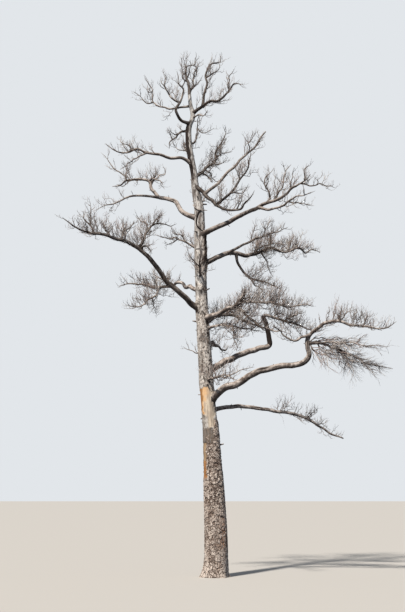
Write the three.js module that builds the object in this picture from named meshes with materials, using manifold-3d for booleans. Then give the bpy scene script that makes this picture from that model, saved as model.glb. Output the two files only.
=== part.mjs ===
// A tall pine that died standing: a scaly trunk that bleaches towards its top, crooked grey boughs,
// and masses of leafless twigs that turn up at their ends.
// Millimetres, +Z up, +X to the right of the view, +Y away from it, origin in the trunk's flat foot.
import * as THREE from "three";
import Module from "manifold-3d";

const wasm = await Module();
wasm.setup();

// The trunk from its foot to its fork: height, sideways lean and radius at each station
const trunkStations = [
  [0, 0, 262],
  [250, 30, 256],
  [770, 38, 248],
  [1600, 8, 231],
  [2450, -35, 205],
  [3200, -85, 170],
  [4000, -155, 150],
  [4900, -210, 143],
  [5800, -265, 131],
  [6500, -290, 127],
  [7400, -320, 122],
  [8100, -325, 110],
  [8650, -420, 88],
  [9000, -446, 81],
  [9350, -515, 78],
  [9850, -578, 70],
  [10200, -556, 66],
  [10350, -489, 57],
  [10500, -484, 53],
  [10700, -532, 46],
  [10960, -558, 40],
];
const trunkTop = trunkStations.at(-1)[0];
const trunkSides = 12;
const depthSway = 70;
const depthSwayHeight = 1900;

// The root flare: how far the foot spreads, how fast that fades, and its root ridges
const flareSpread = 0.1;
const flareRidge = 0.24;
const flareFade = 150;
const flareRidges = 5;
const flareUnevenness = 0.35;
const flareRings = [40, 90, 160];

// Broken stubs of shed limbs on the trunk
const stubCount = 9;
const stubFirst = 2750;
const stubRise = 690;
const stubLength = 95;
const stubLengthRange = [0.6, 1.3];
const stubRadius = 17;
const stubTaper = 0.6;
const stubTilt = 18;
const stubRoom = 70;
const stubSeed = 9001;

// Limbs
const boughSides = 6;
const stemSides = 4;
const forkSides = 3;
const slimButt = 28;
const limbTaper = 0.55;
const legWander = 12;
const smallest = 1.5;
const seatGap = 0.3;
const fattening = 0.36;
const bendWidening = 1.2;
const limbSeed = 101;
const forkSeedStep = 7;
const stemSeedStep = 13;

// Twigs
const twigSides = 3;
const twigFirst = 110;
const twigSpacing = 325;
const twigShortest = 170;
const twigLongest = 470;
const twigShare = 0.34;
const twigLengthRange = [0.7, 1.1];
const twigRadius = 8;
const twigToStem = 0.8;
const twigLean = [38, 66];
const twigScatter = 25;
const twigLift = 0.55;
const footLift = 0.5;
const tipLift = 1.6;
const twigSeedStep = 31;
const sprigFrom = 365;
const sprigShare = 0.5;
const sprigLean = [30, 55];
const sprigRadius = 5;
const limbRoom = 14;
const spaceMargin = 24;
const spaceSteps = 4;
const goldenAngle = 137.5;

const up = new THREE.Vector3(0, 0, 1);
const radians = THREE.MathUtils.degToRad;

// A run of equal legs on one bearing, each with its own rise over the level.
// Bearings turn from +X towards +Y, and a rise over 90 leans back over the foot.
function run(bearing, leg, rises) {
  return { bearing, leg, rises };
}

// A fork leaves its stem at a distance along it.
function fork(at, butt, runs, forks = []) {
  return { at, butt, runs, forks };
}

// Each limb is one measured line from its foot: at a height on the trunk, or at a distance along a bough.
// Its first legs are bare boughs, as many legs each as stated, and the rest is the stem of its mass
// of twigs, which may start slimmer than the bough's tip. Forks belong to the mass.
const limbs = [];
function limb(name, on, at, butt, runs, more = {}) {
  limbs.push({ name, on, at, butt, runs, end: 0, lift: twigLift, boughs: [], forks: [], ...more });
}

limb("leader", "trunk_top", trunkTop, 40, [run(180, 190, [84, 82, 80, 86])], {
  forks: [
    fork(70, 26, [run(60, 200, [55, 75, 80, 55, 65])], [
      fork(90, 14, [run(-30, 240, [30, 50])]),
      fork(480, 12, [run(20, 170, [60, 85, 75])]),
    ]),
    fork(300, 15, [run(205, 175, [48, 80, 88, 80])]),
    fork(420, 14, [run(-50, 165, [50, 85, 92])]),
    fork(560, 16, [run(20, 180, [80, 20, 80, 90])]),
  ],
});
limb("crown_left", "trunk", 10230, 38, [run(225, 268, [5, 40, 115, 110, 65, 75])], {
  boughs: [["crown_left_bough", 2]],
  forks: [
    fork(780, 22, [run(190, 181, [30, 45, 65, 100, 90])], [fork(470, 12, [run(170, 198, [55, 90])])]),
    fork(1180, 13, [run(-15, 165, [55, 85])]),
  ],
});
limb("high_left", "trunk", 10680, 26, [run(160, 242, [5, -5, 15, 30, 85, 70, 55])], {
  forks: [fork(960, 15, [run(185, 206, [0, 55, 35])]), fork(1240, 12, [run(150, 160, [35, 75])])],
});
limb("crown_right", "trunk", 10500, 38, [run(-35, 251, [25, 25, -10, 30, 40, -10])], {
  forks: [
    fork(300, 32, [run(30, 281, [85, 75, 95, 65, 25, 80])], [fork(740, 17, [run(-10, 175, [30, 25, 80])])]),
    fork(1070, 18, [run(10, 193, [90, 80, 60])]),
  ],
});
limb("crown_spur", "trunk", 10370, 20, [run(-62, 226, [0, -5, 0])]);
limb("hanging_left", "trunk", 10060, 28, [run(196, 197, [-10, -55, -40, -80])], {
  forks: [fork(300, 16, [run(215, 150, [-10, 35])]), fork(530, 13, [run(170, 151, [70, 75])])],
});
limb("curl_right", "trunk", 9710, 20, [run(30, 194, [35, 75, 95, 80, 80])], {
  forks: [fork(530, 14, [run(0, 235, [-30, 30])])],
});
limb("back_high", "trunk", 9580, 30, [run(98, 250, [20, 15, 30, 5, 40, 65])], {
  forks: [fork(640, 15, [run(140, 220, [10, 35, 60])])],
});
limb("arch_left", "trunk", 9240, 40, [run(190, 272, [25, 0, 10, 5, 15, -25, 10, 30])], {
  boughs: [["arch_left_bough", 3]],
  forks: [
    fork(1100, 20, [run(215, 189, [-30, -30, -40, -50, -35])]),
    fork(1480, 15, [run(150, 185, [55, 30, 70])]),
  ],
});
limb("right_climber", "trunk", 8920, 37, [run(40, 257, [35, 50, 35, 75, 60, 60, 80])], {
  forks: [
    fork(230, 22, [run(-10, 130, [-25, -55, -50])], [fork(170, 13, [run(50, 130, [-5, -30])])]),
    fork(370, 16, [run(20, 150, [-35, -65, -20, 20])]),
    fork(520, 16, [run(-20, 165, [-5, 10, 25])]),
    fork(890, 16, [run(0, 218, [30, 10])]),
  ],
});
limb("dark_right", "trunk", 8680, 46, [run(-40, 267, [-35, -45, -40, -40, -20, -5, 35, 45])], {
  boughs: [["dark_right_bough", 3]],
  forks: [
    fork(910, 31, [run(-20, 252, [35, 40, 50, 55, 70, 80])], [
      fork(420, 16, [run(-40, 209, [-20, 0, 60])]),
      fork(700, 15, [run(10, 180, [80, 90, 70])]),
    ]),
    fork(1500, 15, [run(-60, 180, [40, 60])]),
  ],
});
limb("long_diagonal", "dark_right_bough", 390, 35, [run(25, 267, [40, 45, 50, 45, 50, 45, 45, 60, 50])], {
  boughs: [["long_diagonal_bough", 5]],
  forks: [fork(1650, 14, [run(-20, 180, [85, 75, 80])])],
  end: 13,
});
limb("back_upper", "trunk", 8380, 42, [run(82, 265, [10, 20, 35, 15, 0, 30, 20, 55])], {
  boughs: [["back_upper_bough", 3]],
  forks: [fork(1180, 20, [run(110, 230, [20, 45, 70])])],
});
limb("swan_left", "trunk", 7930, 60, [run(150, 270, [20, 35, 60, 25, 20, 50, 65, 15, 0, -10, 0])], {
  boughs: [["swan_left_bough", 6]],
  forks: [
    fork(1740, 24, [run(45, 216, [50, 45, 25, 75])]),
    fork(1860, 20, [run(-40, 185, [15, -25, -55, -55])]),
    fork(2250, 16, [run(205, 180, [-20, -35, -10])]),
    fork(2480, 19, [run(175, 205, [65, 25, 50, 55, 50])]),
  ],
});
limb("swan_low", "swan_left_bough", 1320, 30, [run(205, 277, [0, -5, -15, -35, -20, -30])], {
  boughs: [["swan_low_bough", 2]],
});
limb("great_right", "trunk", 7480, 61, [run(-30, 253, [25, 15, 15, 25, 15, 15, 15, 5, 15, 30, 20, 40])], {
  boughs: [["great_right_bough", 7]],
  forks: [
    fork(1830, 23, [run(10, 184, [70, 120, 95, 60, 50])], [fork(400, 13, [run(-40, 160, [60, 85])])]),
    fork(2020, 23, [run(30, 214, [65, 65, 75, 60, 50])], [fork(480, 13, [run(80, 170, [35, 80])])]),
    fork(2420, 15, [run(-45, 180, [70, 80, 60])]),
    fork(2740, 17, [run(-10, 198, [-15, 0, -10, -20])]),
    fork(2850, 14, [run(0, 202, [85, 60])]),
  ],
});
limb("right_low", "great_right_bough", 1590, 31, [run(-45, 272, [-25, -5, 10, 15, -5, 10])], {
  boughs: [["right_low_bough", 1]],
  forks: [fork(860, 16, [run(-20, 202, [-10, -10, -20])])],
});
limb("left_wisp", "trunk", 7210, 26, [run(176, 228, [22, 32, 15, 8, 20])], {
  forks: [
    fork(330, 16, [run(205, 190, [48, 15, 55])]),
    fork(560, 14, [run(150, 190, [-15, -20])]),
  ],
});
limb("mid_right", "trunk", 6840, 60, [run(30, 267, [25, 30, 25, 10, -5, 15, 25, 25, -10, 5, 25, -20, 30, -10])], {
  boughs: [["mid_right_bough", 5]],
  forks: [
    fork(1560, 22, [run(0, 205, [45, 25, 10, -10, 30])]),
    fork(1830, 20, [run(-30, 182, [-65, -70, -70, -60])]),
    fork(2130, 18, [run(15, 180, [75, 95, 60])]),
    fork(2620, 16, [run(60, 211, [60, 55, 60])]),
  ],
});
limb("mid_upper", "mid_right_bough", 780, 33, [run(-10, 261, [25, 25, 25, 15, 15, 15])], {
  boughs: [["mid_upper_bough", 2]],
  forks: [fork(920, 15, [run(25, 180, [60, 70, 50])])],
});
limb("mid_hanging", "mid_right_bough", 1080, 33, [run(-20, 274, [-80, -55, -40, -15, -25, -35])], {
  boughs: [["mid_hanging_bough", 2]],
  forks: [fork(760, 17, [run(-50, 180, [-55, -40, -20])])],
});
limb("front_mid", "trunk", 6560, 27, [run(262, 240, [10, 25, 45, 70, 80])], {
  forks: [fork(480, 14, [run(235, 200, [15, 40, 65])])],
});
limb("back_mid", "trunk", 6250, 50, [run(112, 268, [15, 25, 10, 30, 15, 0, 25, 10, 45, 60])], {
  boughs: [["back_mid_bough", 5]],
  forks: [fork(1560, 22, [run(150, 225, [15, 40, 30, 65])]), fork(2010, 18, [run(80, 215, [30, 50, 75])])],
});
limb("great_left", "trunk", 5800, 64, [
  run(210, 263, [25, 35, 35, 35, 50, 45, 40, 35, 20, 5, 10, 0, 5, 20, 30]),
], {
  boughs: [["great_left_bough", 7]],
  forks: [
    fork(1960, 24, [run(-40, 115, [40, -10, -55, -80])]),
    fork(2040, 33, [run(50, 267, [50, 60, 45, 50, 45])], [
      fork(620, 17, [run(140, 190, [60, 30, 60])]),
      fork(830, 17, [run(0, 190, [15, -15, 15])]),
    ]),
    fork(2380, 20, [run(-20, 181, [95, 45, 50])]),
    fork(2480, 20, [run(70, 204, [50, 85, 60])]),
    fork(2760, 15, [run(130, 175, [55, 40, 80])]),
    fork(3120, 21, [run(180, 204, [70, 45, 75])], [fork(190, 14, [run(120, 190, [85, 90, 80])])]),
  ],
});
limb("low_left", "great_left_bough", 900, 31, [run(185, 204, [-5, -5, 10, 5, -10, -15])], {
  boughs: [["low_left_bough", 1]],
  forks: [fork(270, 26, [run(240, 280, [-50, -35, -30, -20, -10])])],
});
limb("fork_right", "trunk", 5560, 63, [run(-45, 245, [15, 10, 15, 10, 45, 60])], {
  boughs: [["fork_right_bough", 3]],
  forks: [
    fork(860, 36, [run(-12, 235, [-20, -45, -40, -25, -15, -15])]),
    fork(980, 34, [run(-15, 252, [20, -10, -5, -15, -15, 10, -10])], [fork(700, 16, [run(30, 190, [25, 45])])]),
  ],
});
limb("under_right", "trunk", 5470, 52, [run(35, 256, [30, 30, 10, 0, -15, -10, -10, -20])], {
  forks: [fork(700, 24, [run(65, 240, [10, 30, 5, 20])])],
});
limb("thin_right", "trunk", 5340, 33, [run(-12, 275, [15, 0, -10, -10, -10])], {
  forks: [fork(720, 19, [run(-50, 150, [-80, -88, -72, -80])], [fork(90, 13, [run(60, 130, [-40, -85])])])],
});
limb("back_low", "trunk", 5020, 48, [run(78, 262, [5, 20, 10, -5, 10, 0, -10, 15, 35])], {
  boughs: [["back_low_bough", 5]],
  forks: [fork(1500, 21, [run(110, 230, [10, 25, 0, 40])])],
});
limb("left_low_wisp", "trunk", 4800, 16, [run(185, 178, [10, 25, 25])]);
limb("hook_right", "trunk", 4410, 74, [
  run(25, 253, [25, 30, 25, 25, 20, 20, 15]),
  run(40, 236, [90, 105, 105]),
  run(0, 276, [-10, -15, -20, -25, -5]),
], {
  boughs: [["hook_right_bough", 7], ["hook_riser_bough", 3]],
  forks: [fork(2700, 18, [run(60, 195, [35, 10, -10])]), fork(2980, 17, [run(-40, 190, [25, 5, 20])])],
  end: 20,
  stem: 36,
});
limb("right_wisp", "trunk", 4260, 19, [run(-16, 192, [5, 5, 0, 35, 10, 10])]);
limb("front_low", "trunk", 4180, 30, [run(-64, 270, [5, 0, 0, -5, -10, -15, -20])]);
limb("elbow", "trunk", 3720, 82, [
  run(-20, 256, [40, 35, 15, 25, 25, 15, 10, 5, 5, 35]),
  run(-20, 207, [95, 85]),
  run(-20, 260, [40, 30, 5, -20, -10, -10, -5, 30]),
], {
  boughs: [["elbow_bough", 10], ["elbow_riser_bough", 2]],
  forks: [
    fork(3050, 30, [run(195, 200, [-15, -25, 30, 35, 25])]),
    fork(3700, 16, [run(20, 190, [25, 50, 40])]),
    fork(4300, 13, [run(-50, 180, [45, 30])]),
  ],
  stem: 40,
});
limb("elbow_fan", "elbow_riser_bough", 2860, 32, [run(12, 252, [0, -12, -22, -26, -22, -15, -12, -12])], {
  boughs: [["elbow_fan_bough", 1]],
  forks: [
    fork(300, 17, [run(-14, 250, [8, -4, -10, -12, -8, -4])]),
    fork(420, 15, [run(32, 236, [-10, -25, -30, -20, -15])]),
    fork(640, 14, [run(-6, 228, [-40, -32, -18, -10])]),
    fork(930, 14, [run(28, 220, [-4, -10, -5])]),
  ],
  lift: -0.1,
});
limb("low_right", "trunk", 3530, 48, [
  run(20, 260, [15, 10, 5, -5, -5, -10, -5, -10, -15, -25, -30, -30, -20]),
], {
  boughs: [["low_right_bough", 6]],
  forks: [fork(2350, 17, [run(55, 190, [10, -15, -25])])],
  end: 12,
});

// Dice that multiply and keep a remainder: the same seed gives the same twigs every time.
const diceFactor = 16807;
const diceModulus = 2147483647;
const diceWarmUp = 5;
class Dice {
  constructor(seed) {
    this.state = seed;
    for (let i = 0; i < diceWarmUp; i += 1) {
      this.roll();
    }
  }

  roll() {
    this.state = (this.state * diceFactor) % diceModulus;
    return this.state / diceModulus;
  }

  between(low, high) {
    return low + (high - low) * this.roll();
  }
}

function heading(bearing, rise) {
  const level = Math.cos(radians(rise));
  return new THREE.Vector3(
    level * Math.cos(radians(bearing)),
    level * Math.sin(radians(bearing)),
    Math.sin(radians(rise)),
  );
}

// The trunk's middle and radius at a height
function trunkAt(height) {
  const above = trunkStations.findIndex((station) => station[0] >= height);
  const upper = trunkStations[above < 0 ? trunkStations.length - 1 : Math.max(1, above)];
  const lower = trunkStations[trunkStations.indexOf(upper) - 1];
  const share = (height - lower[0]) / (upper[0] - lower[0]);
  const sideways = THREE.MathUtils.lerp(lower[1], upper[1], share);
  const depth = depthSway * Math.sin(height / depthSwayHeight);
  return {
    middle: new THREE.Vector3(sideways, depth, height),
    radius: THREE.MathUtils.lerp(lower[2], upper[2], share),
  };
}

// How much wider the foot is at a height and an angle, with a ridge over each root
function flareAt(height, angle) {
  const uneven = angle + flareUnevenness * Math.sin(2 * angle);
  const ridge = 0.5 + 0.5 * Math.cos(flareRidges * uneven);
  return 1 + (flareSpread + flareRidge * ridge) * Math.exp(-height / flareFade);
}

// A closed solid through rings of points. A last ring of no radius is a point, any other end a flat cap.
const nearlyAlong = 0.95;
function tube(rings, sides, extra = 0) {
  const points = [];
  const faces = [];
  const rows = [];
  let side = new THREE.Vector3(1, 0, 0);
  for (const ring of rings) {
    if (Math.abs(side.dot(ring.along)) > nearlyAlong) {
      side = new THREE.Vector3(0, 1, 0);
    }
    side = side.clone().addScaledVector(ring.along, -side.dot(ring.along)).normalize();
    const across = ring.along.clone().cross(side);
    const row = [];
    const count = ring.radius > 0 ? sides : 1;
    for (let i = 0; i < count; i += 1) {
      const angle = (2 * Math.PI * i) / sides;
      const spread = ring.spread ? ring.spread(angle) : 1;
      const reach = ring.radius > 0 ? ring.radius * spread + extra : 0;
      const point = ring.at.clone();
      point.addScaledVector(side, reach * Math.cos(angle));
      point.addScaledVector(across, reach * Math.sin(angle));
      row.push(points.length / 3);
      points.push(point.x, point.y, point.z);
    }
    rows.push(row);
  }
  for (let k = 1; k < rows.length; k += 1) {
    const [below, above] = [rows[k - 1], rows[k]];
    for (let i = 0; i < sides; i += 1) {
      const next = (i + 1) % sides;
      if (above.length === 1) {
        faces.push(below[i], below[next], above[0]);
      } else {
        faces.push(below[i], below[next], above[next]);
        faces.push(below[i], above[next], above[i]);
      }
    }
  }
  const first = rows[0];
  const last = rows.at(-1);
  for (let i = 1; i < sides - 1; i += 1) {
    faces.push(first[0], first[i + 1], first[i]);
    if (last.length > 1) {
      faces.push(last[0], last[i], last[i + 1]);
    }
  }
  return new wasm.Manifold(new wasm.Mesh({
    numProp: 3,
    vertProperties: new Float32Array(points),
    triVerts: new Uint32Array(faces),
  }));
}

// The points of a line of runs, with a small seeded wander to either side
function walk(start, runs, seed) {
  const dice = new Dice(seed);
  const points = [start.clone()];
  for (const { bearing, leg, rises } of runs) {
    for (const rise of rises) {
      const step = heading(bearing + dice.between(-legWander, legWander), rise).multiplyScalar(leg);
      points.push(points.at(-1).clone().add(step));
    }
  }
  return points;
}

// Rings along a line of points, tapering from the butt to a point, each square to the bend it sits in
function ringsAlong(points, butt, end = 0) {
  const last = points.length - 1;
  return points.map((at, i) => {
    const before = points[i].clone().sub(points[Math.max(0, i - 1)]).normalize();
    const after = points[Math.min(last, i + 1)].clone().sub(points[i]).normalize();
    const along = before.clone().add(after).normalize();
    const bend = i > 0 && i < last ? 1 / Math.max(along.dot(after), 1 / bendWidening) : 1;
    const radius = (end + (butt - end) * (1 - i / last) ** limbTaper) * bend;
    return { at, along, radius: i === last ? 0 : radius };
  });
}

function pointAlong(rings, distance) {
  let left = distance;
  for (let i = 1; i < rings.length; i += 1) {
    const leg = rings[i].at.distanceTo(rings[i - 1].at);
    if (left <= leg || i === rings.length - 1) {
      const share = Math.min(1, left / leg);
      return {
        at: rings[i - 1].at.clone().lerp(rings[i].at, share),
        along: rings[i].at.clone().sub(rings[i - 1].at).normalize(),
        radius: THREE.MathUtils.lerp(rings[i - 1].radius, rings[i].radius, share),
      };
    }
    left -= leg;
  }
  return rings.at(-1);
}

function lengthOf(rings) {
  let total = 0;
  for (let i = 1; i < rings.length; i += 1) {
    total += rings[i].at.distanceTo(rings[i - 1].at);
  }
  return total;
}

// A piece that goes on from a flat tip starts just clear of it, square to the same cut.
function startClear(rings, on) {
  if (on !== "tip" && on !== "trunk_top") {
    return rings;
  }
  const along = on === "trunk_top" ? up : rings[0].along;
  const first = { ...rings[0], along, at: rings[0].at.clone().addScaledVector(along, seatGap) };
  return [first, ...rings.slice(1)];
}

// A stem's rings may be slimmer than the bough's tip that it goes on from.
function slimmed(rings, stem) {
  if (!stem) {
    return rings;
  }
  const slim = ringsAlong(rings.map((ring) => ring.at), stem);
  return slim.map((ring, i) => ({ ...ring, along: rings[i].along }));
}

// Boughs and masses, filled in from the limbs: a bough has rings, a mass has stems of rings
const boughs = new Map();
const masses = new Map();

function growForks(stems, stem, forks, seed) {
  forks.forEach((branch, i) => {
    const foot = pointAlong(stem.whole, branch.at);
    const forkSeed = seed * forkSeedStep + i + 1;
    const rings = ringsAlong(walk(foot.at, branch.runs, forkSeed), branch.butt);
    const grown = { rings, whole: rings, sides: forkSides, seed: forkSeed };
    stems.push(grown);
    growForks(stems, grown, branch.forks, forkSeed);
  });
}

limbs.forEach((limb, index) => {
  const seed = limbSeed + index;
  const carrier = boughs.get(limb.on);
  const foot = carrier ? pointAlong(carrier.whole, limb.at).at : trunkAt(limb.at).middle;
  const whole = ringsAlong(walk(foot, limb.runs, seed), limb.butt, limb.end);
  let from = 0;
  for (const [name, legs] of limb.boughs) {
    const rings = whole.slice(from, from + legs + 1);
    const on = from === 0 ? limb.on : "tip";
    boughs.set(name, { rings: startClear(rings, on), whole, on, sides: boughSides });
    from += legs;
  }
  const rings = slimmed(whole.slice(from), limb.stem);
  const on = from === 0 ? limb.on : "tip";
  const sides = limb.butt < slimButt ? forkSides : stemSides;
  const stems = [{ rings: startClear(rings, on), whole, sides, seed: seed * stemSeedStep }];
  growForks(stems, stems[0], limb.forks, seed);
  masses.set(`${limb.name}_twigs`, { stems, on, lift: limb.lift });
});

// Every stretch of limb in the tree, with the piece that it belongs to
const stretches = [];
function noteStretches(owner, isMass, rings) {
  for (let i = 1; i < rings.length; i += 1) {
    stretches.push({ owner, isMass, from: rings[i - 1], to: rings[i] });
  }
}
boughs.forEach((bough, name) => noteStretches(name, false, bough.rings));
masses.forEach((mass, name) => mass.stems.forEach((stem) => noteStretches(name, true, stem.rings)));

function gapTo(point, { from, to }) {
  const leg = to.at.clone().sub(from.at);
  const share = THREE.MathUtils.clamp(point.clone().sub(from.at).dot(leg) / leg.lengthSq(), 0, 1);
  const nearest = from.at.clone().addScaledVector(leg, share);
  return point.distanceTo(nearest) - THREE.MathUtils.lerp(from.radius, to.radius, share);
}

// A point is in a mass's own space if it is nearer that mass's stems than any other mass's,
// and clear of the trunk and of every bough.
function inOwnSpace(point, owner) {
  const { middle, radius } = trunkAt(Math.min(point.z, trunkTop));
  if (point.distanceTo(middle) < radius + limbRoom) {
    return false;
  }
  let own = Infinity;
  let other = Infinity;
  for (const stretch of stretches) {
    const gap = gapTo(point, stretch);
    if (stretch.owner === owner) {
      own = Math.min(own, gap);
    } else if (stretch.isMass) {
      other = Math.min(other, gap);
    } else if (gap < limbRoom) {
      return false;
    }
  }
  return other > own + spaceMargin;
}

// One twig: two legs, the second lifted further than the first, that end in a point
function twigRings(foot, direction, length, radius, lift) {
  const first = direction.clone().addScaledVector(up, lift * footLift).normalize();
  const second = direction.clone().addScaledVector(up, lift * tipLift).normalize();
  const bend = foot.at.clone().addScaledVector(first, length / 2);
  const tip = bend.clone().addScaledVector(second, length / 2);
  return ringsAlong([foot.at, bend, tip], radius);
}

function fits(rings, foot, owner) {
  const length = lengthOf(rings);
  const start = foot.radius + limbRoom;
  for (let step = 1; step <= spaceSteps; step += 1) {
    const distance = Math.max(start, (step / spaceSteps) * length);
    if (!inOwnSpace(pointAlong(rings, distance).at, owner)) {
      return false;
    }
  }
  return true;
}

// Twigs leave a stem all round it at even steps, and each longer one carries one sprig.
function growTwigs(owner, mass, stem, solids) {
  const length = lengthOf(stem.rings);
  let count = 0;
  for (let distance = twigFirst; distance < length; distance += twigSpacing) {
    count += 1;
    const dice = new Dice(stem.seed * twigSeedStep + count);
    const foot = pointAlong(stem.rings, distance);
    const turn = radians(count * goldenAngle + dice.between(-twigScatter, twigScatter));
    const lean = radians(dice.between(...twigLean));
    const size = THREE.MathUtils.clamp(twigShare * (length - distance) + twigShortest, 0, twigLongest);
    const reach = size * dice.between(...twigLengthRange);
    const side = up.clone().cross(foot.along).normalize().applyAxisAngle(foot.along, turn);
    const direction = foot.along.clone().multiplyScalar(Math.cos(lean));
    direction.addScaledVector(side, Math.sin(lean));
    const radius = Math.min(twigRadius, foot.radius * twigToStem);
    const rings = twigRings(foot, direction, reach, radius, mass.lift);
    if (!fits(rings, foot, owner)) {
      continue;
    }
    solids.push(tube(rings, twigSides));
    if (reach < sprigFrom) {
      continue;
    }
    const joint = pointAlong(rings, reach / 2);
    const sprigTurn = direction.clone().cross(foot.along).normalize();
    const sprigWay = direction.clone().applyAxisAngle(sprigTurn, radians(dice.between(...sprigLean)));
    const sprigTip = joint.at.clone().addScaledVector(sprigWay, reach * sprigShare);
    const sprig = ringsAlong([joint.at, sprigTip], sprigRadius);
    if (fits(sprig, joint, owner)) {
      solids.push(tube(sprig, twigSides));
    }
  }
}

// The trunk with its ridged foot and its broken stubs
function buildTrunk(extra = 0) {
  const heights = [...trunkStations.map((station) => station[0]), ...flareRings];
  const rings = heights.sort((a, b) => a - b).map((height) => {
    const { middle, radius } = trunkAt(height);
    return { at: middle, along: up, radius, spread: (angle) => flareAt(height, angle) };
  });
  return tube(rings, trunkSides, extra);
}

function buildStubs() {
  const stubs = [];
  for (let i = 0; i < stubCount; i += 1) {
    const dice = new Dice(stubSeed + i);
    const { middle, radius } = trunkAt(stubFirst + i * stubRise);
    const way = heading(i * goldenAngle, dice.between(-stubTilt, stubTilt));
    const reach = radius + stubLength * dice.between(...stubLengthRange);
    const tip = middle.clone().addScaledVector(way, reach);
    const crowded = stretches.some((stretch) => gapTo(tip, stretch) < stubRoom);
    if (!crowded) {
      const rings = [
        { at: middle, along: way, radius: stubRadius },
        { at: tip, along: way, radius: stubRadius * stubTaper },
      ];
      stubs.push(tube(rings, stemSides));
    }
  }
  return stubs;
}

function largestPiece(solid) {
  const pieces = solid.decompose();
  pieces.sort((a, b) => b.volume() - a.volume());
  return pieces[0];
}

const fatTrunk = buildTrunk(fattening);

// Cuts a piece back to just clear of what carries it.
function seat(solid, on) {
  if (on === "trunk") {
    return largestPiece(solid.subtract(fatTrunk));
  }
  const carrier = boughs.get(on);
  if (carrier) {
    return largestPiece(solid.subtract(tube(carrier.rings, carrier.sides, fattening)));
  }
  return largestPiece(solid);
}

function toGeometry(solid) {
  const mesh = solid.getMesh();
  const geometry = new THREE.BufferGeometry();
  geometry.setAttribute("position", new THREE.BufferAttribute(new Float32Array(mesh.vertProperties), 3));
  geometry.setIndex(new THREE.BufferAttribute(new Uint32Array(mesh.triVerts), 1));
  geometry.computeVertexNormals();
  return geometry;
}

const barkGrey = new THREE.MeshStandardMaterial({ color: 0x968a80, roughness: 0.95, metalness: 0 });
const silverWood = new THREE.MeshStandardMaterial({ color: 0x8d867f, roughness: 0.85, metalness: 0 });
const twigGrey = new THREE.MeshStandardMaterial({ color: 0x857a75, roughness: 0.9, metalness: 0 });

const tree = new THREE.Group();

function place(name, solid, material) {
  const mesh = new THREE.Mesh(toGeometry(solid), material);
  mesh.name = name;
  tree.add(mesh);
}

place("trunk", wasm.Manifold.union([buildTrunk(), ...buildStubs()]), barkGrey);

boughs.forEach((bough, name) => {
  place(name, seat(tube(bough.rings, bough.sides), bough.on), silverWood);
});

masses.forEach((mass, name) => {
  const solids = [];
  for (const stem of mass.stems) {
    solids.push(tube(stem.rings, stem.sides));
    growTwigs(name, mass, stem, solids);
  }
  const joined = wasm.Manifold.union(solids).simplify(smallest);
  place(name, seat(joined, mass.on), twigGrey);
});

export default tree;
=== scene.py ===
# %% [markdown]
# # A tall pine that died standing
# The tree has lost its needles and most of its bark. Low down it still wears thick scales, one long
# window shows fresh wood, and from there up the trunk and the crooked boughs are bleached silver. The
# twigs are bare and turn up at their ends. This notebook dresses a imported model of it: the model's
# solids say where each limb goes, and the meshes made here stand in for them with bark, grain and fine
# twigs.

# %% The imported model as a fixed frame
import math

import bpy
import numpy as np
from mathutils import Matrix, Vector


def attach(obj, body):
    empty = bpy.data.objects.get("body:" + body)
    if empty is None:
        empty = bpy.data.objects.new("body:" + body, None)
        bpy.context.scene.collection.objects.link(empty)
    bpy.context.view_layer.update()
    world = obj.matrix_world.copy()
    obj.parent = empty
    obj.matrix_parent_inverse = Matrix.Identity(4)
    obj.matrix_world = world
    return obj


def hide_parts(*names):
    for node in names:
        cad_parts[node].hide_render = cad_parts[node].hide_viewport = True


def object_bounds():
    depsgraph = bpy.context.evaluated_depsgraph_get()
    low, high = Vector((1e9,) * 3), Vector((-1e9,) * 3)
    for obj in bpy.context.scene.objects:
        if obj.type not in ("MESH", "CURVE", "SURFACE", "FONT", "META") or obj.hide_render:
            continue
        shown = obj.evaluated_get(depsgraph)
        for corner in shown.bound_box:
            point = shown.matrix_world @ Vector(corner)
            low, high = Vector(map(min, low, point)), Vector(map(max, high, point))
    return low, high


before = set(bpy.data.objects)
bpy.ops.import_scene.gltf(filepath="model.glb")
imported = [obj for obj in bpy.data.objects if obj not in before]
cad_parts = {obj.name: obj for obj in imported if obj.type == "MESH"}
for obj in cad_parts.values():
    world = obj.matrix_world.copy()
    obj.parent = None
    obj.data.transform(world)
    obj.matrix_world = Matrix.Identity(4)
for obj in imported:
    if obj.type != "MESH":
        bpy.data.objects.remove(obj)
cad_low, cad_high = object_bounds()
print("nodes", len(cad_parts), "box", tuple(cad_low), tuple(cad_high))

# %% [markdown]
# ## The trunk's line
# The trunk leans left and sways a little as it rises. The stations give its height, its sideways lean
# and its radius, in metres. The solid runs straight from one to the next. The mesh made here flows
# through the same stations, with slopes taken from their neighbours, so that no kink shows.

# %% The trunk's stations and its smooth line
TRUNK_STATIONS = np.array([
    (0.00, 0.000, 0.262),
    (0.25, 0.030, 0.256),
    (0.77, 0.038, 0.248),
    (1.60, 0.008, 0.231),
    (2.45, -0.035, 0.205),
    (3.20, -0.085, 0.170),
    (4.00, -0.155, 0.150),
    (4.90, -0.210, 0.143),
    (5.80, -0.265, 0.131),
    (6.50, -0.290, 0.127),
    (7.40, -0.320, 0.122),
    (8.10, -0.325, 0.110),
    (8.65, -0.420, 0.088),
    (9.00, -0.446, 0.081),
    (9.35, -0.515, 0.078),
    (9.85, -0.578, 0.070),
    (10.20, -0.556, 0.066),
    (10.35, -0.489, 0.057),
    (10.50, -0.484, 0.053),
    (10.70, -0.532, 0.046),
    (10.96, -0.558, 0.040),
])
TRUNK_TOP = TRUNK_STATIONS[-1, 0]
DEPTH_SWAY = 0.07
DEPTH_SWAY_HEIGHT = 1.9
BREAST_HEIGHT = 1.3


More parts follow.
